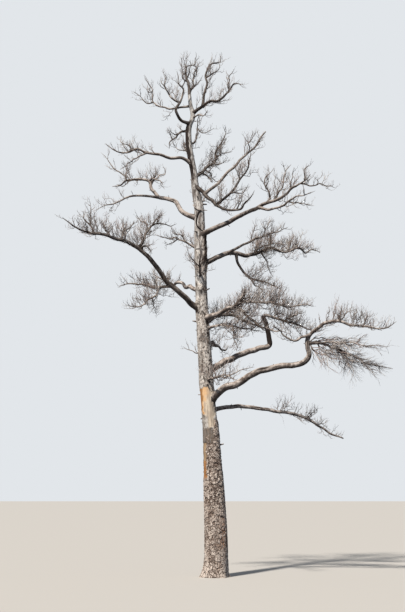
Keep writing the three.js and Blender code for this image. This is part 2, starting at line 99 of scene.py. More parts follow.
def flow(at, places, values):
    """Values between the given places, with slopes that run through their neighbours."""
    slopes = np.gradient(values, places)
    right = np.clip(np.searchsorted(places, at), 1, len(places) - 1)
    left = right - 1
    span = places[right] - places[left]
    t = np.clip((at - places[left]) / span, 0, 1)
    from_left = (2 * t + 1) * (1 - t) ** 2 * values[left] + t * (1 - t) ** 2 * span * slopes[left]
    from_right = t * t * (3 - 2 * t) * values[right] + t * t * (t - 1) * span * slopes[right]
    return from_left + from_right


def sway(height):
    """How far the trunk goes back or comes forward at a height."""
    return DEPTH_SWAY * np.sin(height / DEPTH_SWAY_HEIGHT)


def trunk_straight(height):
    """The solid's own middle and radius at a height, straight from station to station."""
    heights = TRUNK_STATIONS[:, 0]
    middle = np.array([np.interp(height, heights, TRUNK_STATIONS[:, 1]), sway(height), height])
    return middle, float(np.interp(height, heights, TRUNK_STATIONS[:, 2]))


print("trunk", TRUNK_TOP, "m to its fork")
print("radius at breast height", round(trunk_straight(BREAST_HEIGHT)[1], 3), "m")

# %% [markdown]
# ## The limbs
# Every limb is one measured line: a foot on the trunk or on another limb, a radius there, and runs of
# equal legs on one bearing, each with its own rise. Bearings turn from +X towards +Y, and a rise over 90
# degrees leans back over the foot. The first legs are bare boughs. The rest is the stem of a mass of
# twigs, with its forks. Free curves drawn by hand could say the same. Notes like these read as if taken
# in front of the tree, in millimetres and degrees, and they are all that the growing needs.

# %% How the notes are written
MM = 0.001


def run(bearing, leg, *rises):
    """Equal legs on one bearing, each with its own rise."""
    return bearing, leg * MM, rises


def fork(at, butt, runs, forks=()):
    """A side stem: how far along its carrier it leaves, its radius there, its runs and its own forks."""
    return at * MM, butt * MM, runs, forks


limbs = []


def limb(name, on, at, butt, runs, boughs=(), forks=(), end=0, stem=0, lift=0.55, bush=0.62, spread=1.0):
    """One limb. Lift turns its twigs up, bush sets how close they stand, spread how far they lean."""
    limbs.append(dict(
        name=name, on=on, at=at * MM, butt=butt * MM, runs=runs, boughs=boughs, forks=forks,
        end=end * MM, stem=stem * MM, lift=lift, bush=bush, spread=spread,
    ))


print("lengths in steps of", MM, "m")

# %% [markdown]
# ### The spire
# Above 9.7 m the trunk is thin and forks. Short limbs curl up round it, and only the first one on the
# left is bare for long enough to be a bough.

# %% Limbs of the spire
limb("leader", "trunk_top", TRUNK_TOP / MM, 40, [run(180, 190, 84, 82, 80, 86)],
    forks=[
        fork(70, 26, [run(60, 200, 55, 75, 80, 55, 65)], [
            fork(90, 14, [run(-30, 240, 30, 50)]),
            fork(480, 12, [run(20, 170, 60, 85, 75)]),
        ]),
        fork(300, 15, [run(205, 175, 48, 80, 88, 80)]),
        fork(420, 14, [run(-50, 165, 50, 85, 92)]),
        fork(560, 16, [run(20, 180, 80, 20, 80, 90)]),
    ],
)
limb("crown_left", "trunk", 10230, 38, [run(225, 268, 5, 40, 115, 110, 65, 75)],
    boughs=[("crown_left_bough", 2)],
    forks=[
        fork(780, 22, [run(190, 181, 30, 45, 65, 100, 90)], [fork(470, 12, [run(170, 198, 55, 90)])]),
        fork(1180, 13, [run(-15, 165, 55, 85)]),
    ],
)
limb("high_left", "trunk", 10680, 26, [run(160, 242, 5, -5, 15, 30, 85, 70, 55)],
    forks=[fork(960, 15, [run(185, 206, 0, 55, 35)]), fork(1240, 12, [run(150, 160, 35, 75)])],
)
limb("crown_right", "trunk", 10500, 38, [run(-35, 251, 25, 25, -10, 30, 40, -10)],
    forks=[
        fork(300, 32, [run(30, 281, 85, 75, 95, 65, 25, 80)], [fork(740, 17, [run(-10, 175, 30, 25, 80)])]),
        fork(1070, 18, [run(10, 193, 90, 80, 60)]),
    ],
)
limb("crown_spur", "trunk", 10370, 20, [run(-62, 226, 0, -5, 0)])
limb("hanging_left", "trunk", 10060, 28, [run(196, 197, -10, -55, -40, -80)],
    forks=[fork(300, 16, [run(215, 150, -10, 35)]), fork(530, 13, [run(170, 151, 70, 75)])],
)
limb("curl_right", "trunk", 9710, 20, [run(30, 194, 35, 75, 95, 80, 80)],
    forks=[fork(530, 14, [run(0, 235, -30, 30)])],
)
print("limbs", len(limbs))

# %% [markdown]
# ### The upper crown
# From 9.6 m down to 8.4 m the limbs arch out and lift their ends. The long diagonal doesn't stand on the
# trunk, but on the dark limb to the right. Two limbs at the back fill the side that the camera doesn't
# see.

# %% Limbs of the upper crown
limb("back_high", "trunk", 9580, 30, [run(98, 250, 20, 15, 30, 5, 40, 65)],
    forks=[fork(640, 15, [run(140, 220, 10, 35, 60)])],
)
limb("arch_left", "trunk", 9240, 40, [run(190, 272, 25, 0, 10, 5, 15, -25, 10, 30)],
    boughs=[("arch_left_bough", 3)],
    forks=[
        fork(1100, 20, [run(215, 189, -30, -30, -40, -50, -35)]),
        fork(1480, 15, [run(150, 185, 55, 30, 70)]),
    ],
)
limb("right_climber", "trunk", 8920, 37, [run(40, 257, 35, 50, 35, 75, 60, 60, 80)],
    forks=[
        fork(230, 22, [run(-10, 130, -25, -55, -50)], [fork(170, 13, [run(50, 130, -5, -30)])]),
        fork(370, 16, [run(20, 150, -35, -65, -20, 20)]),
        fork(520, 16, [run(-20, 165, -5, 10, 25)]),
        fork(890, 16, [run(0, 218, 30, 10)]),
    ],
    bush=0.9,
)
limb("dark_right", "trunk", 8680, 46, [run(-40, 267, -35, -45, -40, -40, -20, -5, 35, 45)],
    boughs=[("dark_right_bough", 3)],
    forks=[
        fork(910, 31, [run(-20, 252, 35, 40, 50, 55, 70, 80)], [
            fork(420, 16, [run(-40, 209, -20, 0, 60)]),
            fork(700, 15, [run(10, 180, 80, 90, 70)]),
        ]),
        fork(1500, 15, [run(-60, 180, 40, 60)]),
    ],
    bush=0.8,
)
limb("long_diagonal", "dark_right_bough", 390, 35, [run(25, 267, 40, 45, 50, 45, 50, 45, 45, 60, 50)],
    boughs=[("long_diagonal_bough", 5)],
    forks=[fork(1650, 14, [run(-20, 180, 85, 75, 80)])],
    end=13,
)
limb("back_upper", "trunk", 8380, 42, [run(82, 265, 10, 20, 35, 15, 0, 30, 20, 55)],
    boughs=[("back_upper_bough", 3)],
    forks=[fork(1180, 20, [run(110, 230, 20, 45, 70)])],
)
print("limbs", len(limbs))

# %% [markdown]
# ### The long limbs
# Around the middle of the tree stand the longest limbs. A swan's neck goes left, two great ones go
# right, and each carries one or two smaller boughs.

# %% The long limbs and what they carry
limb("swan_left", "trunk", 7930, 60, [run(150, 270, 20, 35, 60, 25, 20, 50, 65, 15, 0, -10, 0)],
    boughs=[("swan_left_bough", 6)],
    forks=[
        fork(1740, 24, [run(45, 216, 50, 45, 25, 75)]),
        fork(1860, 20, [run(-40, 185, 15, -25, -55, -55)]),
        fork(2250, 16, [run(205, 180, -20, -35, -10)]),
        fork(2480, 19, [run(175, 205, 65, 25, 50, 55, 50)]),
    ],
)
limb("swan_low", "swan_left_bough", 1320, 30, [run(205, 277, 0, -5, -15, -35, -20, -30)],
    boughs=[("swan_low_bough", 2)],
)
limb("great_right", "trunk", 7480, 61, [run(-30, 253, 25, 15, 15, 25, 15, 15, 15, 5, 15, 30, 20, 40)],
    boughs=[("great_right_bough", 7)],
    forks=[
        fork(1830, 23, [run(10, 184, 70, 120, 95, 60, 50)], [fork(400, 13, [run(-40, 160, 60, 85)])]),
        fork(2020, 23, [run(30, 214, 65, 65, 75, 60, 50)], [fork(480, 13, [run(80, 170, 35, 80)])]),
        fork(2420, 15, [run(-45, 180, 70, 80, 60)]),
        fork(2740, 17, [run(-10, 198, -15, 0, -10, -20)]),
        fork(2850, 14, [run(0, 202, 85, 60)]),
    ],
)
limb("right_low", "great_right_bough", 1590, 31, [run(-45, 272, -25, -5, 10, 15, -5, 10)],
    boughs=[("right_low_bough", 1)],
    forks=[fork(860, 16, [run(-20, 202, -10, -10, -20)])],
)
limb("left_wisp", "trunk", 7210, 26, [run(176, 228, 22, 32, 15, 8, 20)],
    forks=[
        fork(330, 16, [run(205, 190, 48, 15, 55)]),
        fork(560, 14, [run(150, 190, -15, -20)]),
    ],
    bush=1.2,
)
limb("mid_right", "trunk", 6840, 60, [
    run(30, 267, 25, 30, 25, 10, -5, 15, 25, 25, -10, 5, 25, -20, 30, -10),
],
    boughs=[("mid_right_bough", 5)],
    forks=[
        fork(1560, 22, [run(0, 205, 45, 25, 10, -10, 30)]),
        fork(1830, 20, [run(-30, 182, -65, -70, -70, -60)]),
        fork(2130, 18, [run(15, 180, 75, 95, 60)]),
        fork(2620, 16, [run(60, 211, 60, 55, 60)]),
    ],
    bush=1.5,
)
limb("mid_upper", "mid_right_bough", 780, 33, [run(-10, 261, 25, 25, 25, 15, 15, 15)],
    boughs=[("mid_upper_bough", 2)],
    forks=[fork(920, 15, [run(25, 180, 60, 70, 50)])],
    bush=1.4,
)
limb("mid_hanging", "mid_right_bough", 1080, 33, [run(-20, 274, -80, -55, -40, -15, -25, -35)],
    boughs=[("mid_hanging_bough", 2)],
    forks=[fork(760, 17, [run(-50, 180, -55, -40, -20)])],
    bush=1.5,
)
print("limbs", len(limbs))

# %% [markdown]
# ### The densest tier
# Between 6.6 m and 5.3 m the twigs stand closest, above all on the right, so bush is well over one
# there. The front and back limbs keep the crown full from every side.

# %% Limbs of the densest tier
limb("front_mid", "trunk", 6560, 27, [run(262, 240, 10, 25, 45, 70, 80)],
    forks=[fork(480, 14, [run(235, 200, 15, 40, 65)])],
)
limb("back_mid", "trunk", 6250, 50, [run(112, 268, 15, 25, 10, 30, 15, 0, 25, 10, 45, 60)],
    boughs=[("back_mid_bough", 5)],
    forks=[fork(1560, 22, [run(150, 225, 15, 40, 30, 65)]), fork(2010, 18, [run(80, 215, 30, 50, 75)])],
)
limb("great_left", "trunk", 5800, 64, [
    run(210, 263, 25, 35, 35, 35, 50, 45, 40, 35, 20, 5, 10, 0, 5, 20, 30),
],
    boughs=[("great_left_bough", 7)],
    forks=[
        fork(1960, 24, [run(-40, 115, 40, -10, -55, -80)]),
        fork(2040, 33, [run(50, 267, 50, 60, 45, 50, 45)], [
            fork(620, 17, [run(140, 190, 60, 30, 60)]),
            fork(830, 17, [run(0, 190, 15, -15, 15)]),
        ]),
        fork(2380, 20, [run(-20, 181, 95, 45, 50)]),
        fork(2480, 20, [run(70, 204, 50, 85, 60)]),
        fork(2760, 15, [run(130, 175, 55, 40, 80)]),
        fork(3120, 21, [run(180, 204, 70, 45, 75)], [fork(190, 14, [run(120, 190, 85, 90, 80)])]),
    ],
    bush=1.2,
)
limb("low_left", "great_left_bough", 900, 31, [run(185, 204, -5, -5, 10, 5, -10, -15)],
    boughs=[("low_left_bough", 1)],
    forks=[fork(270, 26, [run(240, 280, -50, -35, -30, -20, -10)])],
    bush=1.2,
)
limb("fork_right", "trunk", 5560, 63, [run(-45, 245, 15, 10, 15, 10, 45, 60)],
    boughs=[("fork_right_bough", 3)],
    forks=[
        fork(860, 36, [run(-12, 235, -20, -45, -40, -25, -15, -15)]),
        fork(980, 34, [run(-15, 252, 20, -10, -5, -15, -15, 10, -10)], [
            fork(700, 16, [run(30, 190, 25, 45)]),
        ]),
    ],
    bush=1.7,
)
limb("under_right", "trunk", 5470, 52, [run(35, 256, 30, 30, 10, 0, -15, -10, -10, -20)],
    forks=[fork(700, 24, [run(65, 240, 10, 30, 5, 20)])],
    bush=1.7,
)
limb("thin_right", "trunk", 5340, 33, [run(-12, 275, 15, 0, -10, -10, -10)],
    forks=[fork(720, 19, [run(-50, 150, -80, -88, -72, -80)], [fork(90, 13, [run(60, 130, -40, -85)])])],
    bush=1.6,
)
print("limbs", len(limbs))

# %% [markdown]
# ### The lowest limbs
# Two of these turn up sharply, a hook and an elbow, so each has a run of its own for its riser. The fan
# on the elbow's riser hangs: its lift is below zero and its twigs lean out little. Its last five forks,
# thin strands near the riser, are made here alone. The other four are in the solids too.

# %% The lowest limbs
limb("back_low", "trunk", 5020, 48, [run(78, 262, 5, 20, 10, -5, 10, 0, -10, 15, 35)],
    boughs=[("back_low_bough", 5)],
    forks=[fork(1500, 21, [run(110, 230, 10, 25, 0, 40)])],
)
limb("left_low_wisp", "trunk", 4800, 16, [run(185, 178, 10, 25, 25)])
limb("hook_right", "trunk", 4410, 74, [
    run(25, 253, 25, 30, 25, 25, 20, 20, 15),
    run(40, 236, 90, 105, 105),
    run(0, 276, -10, -15, -20, -25, -5),
],
    boughs=[("hook_right_bough", 7), ("hook_riser_bough", 3)],
    forks=[fork(2700, 18, [run(60, 195, 35, 10, -10)]), fork(2980, 17, [run(-40, 190, 25, 5, 20)])],
    end=20,
    stem=36,
    bush=1.7,
)
limb("right_wisp", "trunk", 4260, 19, [run(-16, 192, 5, 5, 0, 35, 10, 10)])
limb("front_low", "trunk", 4180, 30, [run(-64, 270, 5, 0, 0, -5, -10, -15, -20)])
limb("elbow", "trunk", 3720, 82, [
    run(-20, 256, 40, 35, 15, 25, 25, 15, 10, 5, 5, 35),
    run(-20, 207, 95, 85),
    run(-20, 260, 40, 30, 5, -20, -10, -10, -5, 30),
],
    boughs=[("elbow_bough", 10), ("elbow_riser_bough", 2)],
    forks=[
        fork(3050, 30, [run(195, 200, -15, -25, 30, 35, 25)]),
        fork(3700, 16, [run(20, 190, 25, 50, 40)]),
        fork(4300, 13, [run(-50, 180, 45, 30)]),
    ],
    stem=40,
    bush=1.4,
)
limb("elbow_fan", "elbow_riser_bough", 2860, 32, [run(12, 252, 0, -12, -22, -26, -22, -15, -12, -12)],
    boughs=[("elbow_fan_bough", 1)],
    forks=[
        fork(300, 17, [run(-14, 250, 8, -4, -10, -12, -8, -4)]),
        fork(420, 15, [run(32, 236, -10, -25, -30, -20, -15)]),
        fork(640, 14, [run(-6, 228, -40, -32, -18, -10)]),
        fork(930, 14, [run(28, 220, -4, -10, -5)]),
        fork(20, 13, [run(0, 165, 36, 6, -8, 12, -14, 6, -10)]),
        fork(50, 12, [run(14, 160, 18, -12, 8, -16, 6, -12, 4)]),
        fork(30, 12, [run(-8, 150, -50, -12, -32, 4, -26, -4, -18)]),
        fork(60, 12, [run(8, 155, -68, -28, -8, -30, 2, -20)]),
        fork(140, 12, [run(20, 150, -14, -34, -2, -28, 4, -18)]),
    ],
    lift=-0.1,
    bush=0.5,
    spread=0.3,
)
limb("low_right", "trunk", 3530, 48, [
    run(20, 260, 15, 10, 5, -5, -5, -10, -5, -10, -15, -25, -30, -30, -20),
],
    boughs=[("low_right_bough", 6)],
    forks=[fork(2350, 17, [run(55, 190, 10, -15, -25)])],
    end=12,
)
print("limbs", len(limbs))

# %% [markdown]
# ## Growing the limbs
# Dice with a known seed make the same tree every time. Each leg of a limb wanders a little to either
# side, as the solid's does, and a smooth curve then runs through the joints. Small bends of its own make
# a limb crooked between its joints. Without them, each limb would look like a bent pipe.

# %% Dice and directions
UP = np.array([0.0, 0.0, 1.0])
LEG_WANDER = 12
DICE_STEP, DICE_SIDES = 16807, 2147483647
WARM_UP_ROLLS = 5


class Dice:
    """Dice that multiply and keep a remainder: the same seed gives the same limbs every time."""

    def __init__(self, seed):
        self.state = seed
        for _ in range(WARM_UP_ROLLS):
            self.roll()

    def roll(self):
        self.state = self.state * DICE_STEP % DICE_SIDES
        return self.state / DICE_SIDES

    def between(self, low, high):
        return low + (high - low) * self.roll()


def unit(vectors):
    return vectors / np.maximum(np.linalg.norm(vectors, axis=-1, keepdims=True), 1e-9)


def heading(bearing, rise):
    b, r = math.radians(bearing), math.radians(rise)
    return np.array([math.cos(r) * math.cos(b), math.cos(r) * math.sin(b), math.sin(r)])


def walk(start, runs, seed):
    """The joints of a line of runs, with a small seeded wander to either side."""
    dice = Dice(seed)
    joints = [start]
    for bearing, leg, rises in runs:
        for rise in rises:
            turn = dice.between(-LEG_WANDER, LEG_WANDER)
            joints.append(joints[-1] + leg * heading(bearing + turn, rise))
    return np.array(joints)


print("first roll of the dice with seed 1:", round(Dice(1).roll(), 4))

# %% Smooth and crooked lines
STEPS_PER_LEG = 20
CROOK_WAVE = 11
CROOK_SHARE, STEM_CROOK_ALSO = 0.3, 0.012
BOUGH_CROOK, STEM_CROOK = 0.006, 0.017
THICK_STEM, THIN_STEM = 0.030, 0.016


def distances(points):
    """How far along the line each of its points is."""
    return np.concatenate([[0], np.cumsum(np.linalg.norm(np.diff(points, axis=0), axis=1))])


def points_at(marks, known, points):
    """Points at the given marks, on a line whose own points have the known marks."""
    return np.stack([np.interp(marks, known, points[:, axis]) for axis in range(3)], -1)


def smooth(joints, steps):
    """A smooth curve that runs through every joint."""
    padded = np.vstack([2 * joints[0] - joints[1], joints, 2 * joints[-1] - joints[-2]])
    a, b, c, d = padded[:-3], padded[1:-2], padded[2:-1], padded[3:]
    t = (np.arange(steps) / steps)[:, None, None]
    curve = 2 * b + (c - a) * t + (2 * a - 5 * b + 4 * c - d) * t**2 + (3 * b - a - 3 * c + d) * t**3
    curve = (curve / 2).transpose(1, 0, 2).reshape(-1, joints.shape[1])
    return np.vstack([curve, joints[-1:]])


def crooked(curve, radii, seed):
    """Small bends between the joints, none at either end."""
    chance = np.random.default_rng(seed)
    knots = chance.normal(0, 1, (len(curve) // CROOK_WAVE + 3, 3))
    bends = smooth(knots, CROOK_WAVE)[: len(curve)]
    window = np.sin(np.linspace(0, np.pi, len(curve))) ** 0.5
    most = np.interp(radii, (THIN_STEM, THICK_STEM), (STEM_CROOK, BOUGH_CROOK))
    wanted = CROOK_SHARE * radii + STEM_CROOK_ALSO * (radii < THICK_STEM)
    return curve + bends * (np.minimum(wanted, most) * window)[:, None]


print("a bend every", CROOK_WAVE, "points,", STEPS_PER_LEG, "points to a leg")

# %% [markdown]
# A limb's line knows its points, its thickness and how far along each point is. Its foot is moved onto
# the smooth line of what carries it, so that nothing hangs beside its carrier where a bend was rounded
# off.

# %% One limb's line
LIMB_TAPER = 0.55


class Line:
    def __init__(self, curve, radii, joints=None, carrier_radius=0.0):
        self.curve = curve
        self.radii = radii
        self.joints = joints
        self.carrier_radius = carrier_radius
        self.reached = distances(curve)
        self.length = self.reached[-1]

    def nearest(self, point):
        return int(np.argmin(np.linalg.norm(self.curve - point, axis=1)))

    def part(self, first, last):
        piece = Line(self.curve[first : last + 1], self.radii[first : last + 1])
        piece.carrier_radius = self.carrier_radius if first == 0 else 0.0
        return piece


def tapered(butt, end, count):
    """Radii from butt to end, that shrink faster towards the end."""
    return end + (butt - end) * (1 - np.linspace(0, 1, count)) ** LIMB_TAPER


def grow_line(foot, runs, butt, end, seed, carrier=None, carrier_radius=0.0):
    """One tapering limb from its foot, in the solid's own joints."""
    joints = walk(foot, runs, seed)
    if carrier is not None:
        nearest = carrier.nearest(foot)
        carrier_radius = carrier.radii[nearest]
        joints[0] = carrier.curve[nearest]
    curve = smooth(joints, STEPS_PER_LEG)
    radii = tapered(butt, end, len(curve))
    return Line(crooked(curve, radii, seed), radii, joints, carrier_radius)


example = grow_line(np.zeros(3), [run(0, 250, 10, 20)], 0.03, 0.01, 1)
print("a limb of two legs has", len(example.curve), "points on", round(example.length, 3), "m")

# %% Every bough and every stem of a mass
LIMB_SEED, FORK_SEED_STEP, STEM_SEED_STEP = 101, 7, 13

bough_lines = {}
bough_owner = {}
stems = []


def add_forks(owner, carrier, forks, seed):
    for i, (at, butt, runs, further) in enumerate(forks):
        fork_seed = seed * FORK_SEED_STEP + i + 1
        foot = points_at(at, distances(carrier.joints), carrier.joints)
        line = grow_line(foot, runs, butt, 0.0, fork_seed, carrier)
        stems.append(dict(owner=owner, line=line, seed=fork_seed))
        add_forks(owner, line, further, fork_seed)


for index, grown in enumerate(limbs):
    seed = LIMB_SEED + index
    carrier = bough_owner.get(grown["on"])
    trunk_radius = 0.0
    if carrier is None:
        foot, trunk_radius = trunk_straight(grown["at"])
    else:
        foot = points_at(grown["at"], distances(carrier.joints), carrier.joints)
    whole = grow_line(foot, grown["runs"], grown["butt"], grown["end"], seed, carrier, trunk_radius)
    start = 0
    for name, legs in grown["boughs"]:
        bough_lines[name] = whole.part(start * STEPS_PER_LEG, (start + legs) * STEPS_PER_LEG)
        bough_lines[name].joints = whole.joints[start : start + legs + 1]
        bough_owner[name] = whole
        start += legs
    stem = whole.part(start * STEPS_PER_LEG, len(whole.curve))
    stem.joints = whole.joints[start:]
    if grown["stem"]:
        stem.radii = tapered(grown["stem"], 0, len(stem.radii))
    stems.append(dict(owner=grown["name"], line=stem, seed=seed * STEM_SEED_STEP))
    add_forks(grown["name"], whole, grown["forks"], seed)

stem_metres = sum(stem["line"].length for stem in stems)
bough_metres = sum(line.length for line in bough_lines.values())
print("boughs", len(bough_lines), f"{bough_metres:.1f} m", "stems", len(stems), f"{stem_metres:.1f} m")

# %% [markdown]
# ## Growing the twigs
# A twig leaves its stem at an angle and then bends up, like a candle holder's arm. Twigs follow each
# other round the stem by the golden angle, which spreads them evenly. Each keeps to its own mass's
# space: it has to be nearer to that mass's stems than to any other's, and clear of the trunk and boughs.
# The same rule is then used again on the twigs, and once more on those, until the ends are as fine as
# the real ones. All twigs of one order are worked out together as arrays, because a loop over every one
# of them would be slow.

# %% The space of each mass
LIMB_ROOM = 0.014
SPACE_MARGIN = 0.024


def stretches_of(line):
    """The straight legs of a limb, each with its radius at either end."""
    radii = line.radii[::STEPS_PER_LEG, None]
    return np.hstack([line.joints[:-1], line.joints[1:], radii[:-1], radii[1:]])


mass_names = [grown["name"] for grown in limbs]
rows = [stretches_of(line) for line in bough_lines.values()]
owners = [np.full(len(block), -1) for block in rows]
for stem in stems:
    block = stretches_of(stem["line"])
    rows.append(block)
    owners.append(np.full(len(block), mass_names.index(stem["owner"])))
STRETCHES = np.vstack(rows)
OWNERS = np.concatenate(owners)


def gaps_to_stretches(points):
    """How far each point is from the middle of every stretch, and what share along it that is."""
    start, leg = STRETCHES[:, :3], STRETCHES[:, 3:6] - STRETCHES[:, :3]
    share = ((points[:, None] - start) * leg).sum(2) / (leg * leg).sum(1)
    share = np.clip(share, 0, 1)
    return np.linalg.norm(points[:, None] - start - share[..., None] * leg, axis=2), share


def in_own_space(points, owner):
    """Which points are in that mass's own space."""
    gap, share = gaps_to_stretches(points)
    gap = gap - (STRETCHES[:, 6] * (1 - share) + STRETCHES[:, 7] * share)
    own = gap[:, OWNERS == owner].min(1)
    other = gap[:, (OWNERS != owner) & (OWNERS >= 0)].min(1)
    bough = gap[:, OWNERS < 0].min(1)
    height = np.minimum(points[:, 2], TRUNK_TOP)
    middle_x = np.interp(height, TRUNK_STATIONS[:, 0], TRUNK_STATIONS[:, 1])
    trunk = np.hypot(points[:, 0] - middle_x, points[:, 1] - sway(height))
    trunk_radius = np.interp(height, TRUNK_STATIONS[:, 0], TRUNK_STATIONS[:, 2])
    clear = (bough > LIMB_ROOM) & ((trunk > trunk_radius + LIMB_ROOM) | (points[:, 2] > TRUNK_TOP))
    return clear & (other > own + SPACE_MARGIN)


print("stretches", len(STRETCHES))

# %% [markdown]
# A twig is two equal legs, the second lifted further than the first, with a crooked curve laid over
# them. The legs alone decide whether it fits, so that a random kink never changes how many twigs a mass
# has.

# %% The rule that a twig grows by
FOOT_LIFT, TIP_LIFT = 0.5, 1.6
FIT_SAMPLES = 4
BOX_MARGIN = np.array([0.006, 0.006, 0.0])


def inside_box(points, margin=BOX_MARGIN):
    return ((points > np.array(cad_low) + margin) & (points < np.array(cad_high) - margin)).all(1)


def leaning(alongs, turns, leans):
    """Directions that lean away from a limb's own, turned round it."""
    side = np.cross(UP, alongs)
    side[np.linalg.norm(side, axis=1) < 1e-6] = (1, 0, 0)
    side = unit(side)
    across = np.cross(alongs, side)
    round_it = side * np.cos(turns)[:, None] + across * np.sin(turns)[:, None]
    return alongs * np.cos(leans)[:, None] + round_it * np.sin(leans)[:, None]


def twig_legs(feet, ways, lengths, lift):
    """Foot, bend and tip of each twig."""
    half = lengths[:, None] / 2
    lift = np.broadcast_to(lift, lengths.shape)[:, None]
    bends = feet + unit(ways + lift * FOOT_LIFT * UP) * half
    return np.stack([feet, bends, bends + unit(ways + lift * TIP_LIFT * UP) * half], 1)


def crooked_twigs(legs, lengths, rings, crook, chance):
    """A crooked curve from each twig's foot to its tip."""
    t = np.linspace(0, 1, rings)[None, :, None]
    foot, bend, tip = legs[:, 0, None], legs[:, 1, None], legs[:, 2, None]
    curves = (1 - t) ** 2 * foot + 2 * t * (1 - t) * bend + t * t * tip
    curves[:, 1:-1] += chance.normal(0, crook, (len(legs), rings - 2, 3)) * lengths[:, None, None]
    return curves


def keep_fitting(legs, foot_radii, lengths, owner):
    """Which twigs keep to their mass's space, from just outside their stem to their tip."""
    kept = np.ones(len(legs), bool)
    for sample in range(1, FIT_SAMPLES + 1):
        share = np.clip(np.maximum((foot_radii + LIMB_ROOM) / lengths, sample / FIT_SAMPLES), 0, 1)[:, None]
        near = legs[:, 0] + (legs[:, 1] - legs[:, 0]) * share * 2
        far = legs[:, 1] + (legs[:, 2] - legs[:, 1]) * (share * 2 - 1)
        kept &= in_own_space(np.where(share < 0.5, near, far), owner)
    return kept


example = twig_legs(np.zeros((1, 3)), np.array([[1.0, 0.0, 0.0]]), np.ones(1), 0.55)
print("a level twig of 1 m ends", round(float(example[0, 2, 2]), 2), "m above its foot")

# %% [markdown]
# The first order is the source's own: the same dice, so the same large twigs and sprigs in the same
# places. Real trees carry many smaller ones between them, so those are added by the same rule.

# %% The source's own twigs
GOLDEN_ANGLE = 137.5
TWIG_FIRST, TWIG_SPACING = 0.11, 0.325
TWIG_SHORTEST, TWIG_LONGEST, TWIG_SHARE = 0.17, 0.47, 0.34
TWIG_LENGTHS = (0.7, 1.1)
TWIG_LEAN = (38, 66)
TWIG_SCATTER = 25
TWIG_SEED_STEP = 31
SPRIG_FROM, SPRIG_SHARE = 0.365, 0.5
SPRIG_LEAN = (30, 55)
FIRST_RINGS, FIRST_RADIUS, FIRST_CROOK = 7, 0.0095, 0.026
MOST_OF_STEM = 0.8
FINEST = 0.0034


def shoots(curves, lengths, foot_radii):
    """A batch of twigs: their curves, their lengths and how thick each is at its foot."""
    roots = np.minimum(FIRST_RADIUS * np.sqrt(lengths / TWIG_LONGEST), foot_radii * MOST_OF_STEM)
    return dict(curves=curves, roots=np.maximum(roots, FINEST), lengths=lengths)


def join_shoots(batches):
    return {key: np.concatenate([batch[key] for batch in batches]) for key in batches[0]}


def pick_shoots(batch, kept):
    return {key: values[kept] for key, values in batch.items()}


def twig_sizes(ahead):
    """How long twigs are, by how much of their stem is still ahead of them."""
    return np.minimum(TWIG_SHARE * ahead + TWIG_SHORTEST, TWIG_LONGEST)


def source_twigs(stem, owner, lift, chance):
    """The source's own twigs on one stem, and the sprig that each longer one carries."""
    line = stem["line"]
    reached = distances(line.joints)
    places = np.arange(TWIG_FIRST, reached[-1], TWIG_SPACING)
    leg = np.searchsorted(reached, places) - 1
    step = (leg + (places - reached[leg]) / np.diff(reached)[leg]) * STEPS_PER_LEG
    steps = np.arange(len(line.curve))
    feet = points_at(step, steps, line.curve)
    foot_radii = np.interp(step, steps, line.radii)
    alongs = unit(line.joints[leg + 1] - line.joints[leg])
    rolls = np.empty((len(places), 4))
    for i in range(len(places)):
        dice = Dice(stem["seed"] * TWIG_SEED_STEP + i + 1)
        ranges = ((-TWIG_SCATTER, TWIG_SCATTER), TWIG_LEAN, TWIG_LENGTHS, SPRIG_LEAN)
        rolls[i] = [dice.between(*span) for span in ranges]
    turns = np.radians((np.arange(len(places)) + 1) * GOLDEN_ANGLE + rolls[:, 0])
    ways = leaning(alongs, turns, np.radians(rolls[:, 1]))
    lengths = twig_sizes(reached[-1] - places) * rolls[:, 2]
    twigs = twig_legs(feet, ways, lengths, lift)
    curves = crooked_twigs(twigs, lengths, FIRST_RINGS, FIRST_CROOK, chance)
    kept = keep_fitting(twigs, foot_radii, lengths, owner) & inside_box(twigs[:, 2], 0)
    # A sprig leaves its twig's bend, in the plane of the twig and its stem.
    bearing = kept & (lengths >= SPRIG_FROM)
    axis = unit(np.cross(ways, alongs))
    lean = np.radians(rolls[:, 3, None])
    sprig_ways = ways * np.cos(lean) + np.cross(axis, ways) * np.sin(lean)
    ends = twigs[:, 1] + sprig_ways * lengths[:, None] * SPRIG_SHARE
    sprigs = np.stack([twigs[:, 1], (twigs[:, 1] + ends) / 2, ends], 1)
    sprig_lengths = lengths * SPRIG_SHARE
    bearing &= keep_fitting(sprigs, foot_radii * 0.5, sprig_lengths, owner)
    sprigs[:, 0] = curves[:, FIRST_RINGS // 2]
    sprig_curves = crooked_twigs(sprigs, sprig_lengths, FIRST_RINGS, FIRST_CROOK, chance)
    grown = shoots(curves, lengths, foot_radii)
    carried = shoots(sprig_curves, sprig_lengths, foot_radii)
    return join_shoots([pick_shoots(grown, kept), pick_shoots(carried, bearing)])


print("twigs every", TWIG_SPACING, "m, at most", TWIG_LONGEST * TWIG_LENGTHS[1], "m long")

# %% Smaller twigs between them
BETWEEN_SPACING = 0.070
BETWEEN_LENGTHS = (0.25, 1.15)
BETWEEN_CROOK = 0.045
PLACE_LUCK = 0.3
FOOT_ROOM, TIP_ROOM, LOOK_AROUND = 0.02, 0.01, 0.02
HANGING_BUSH = 1.5
NARROW_LONGER = 0.6


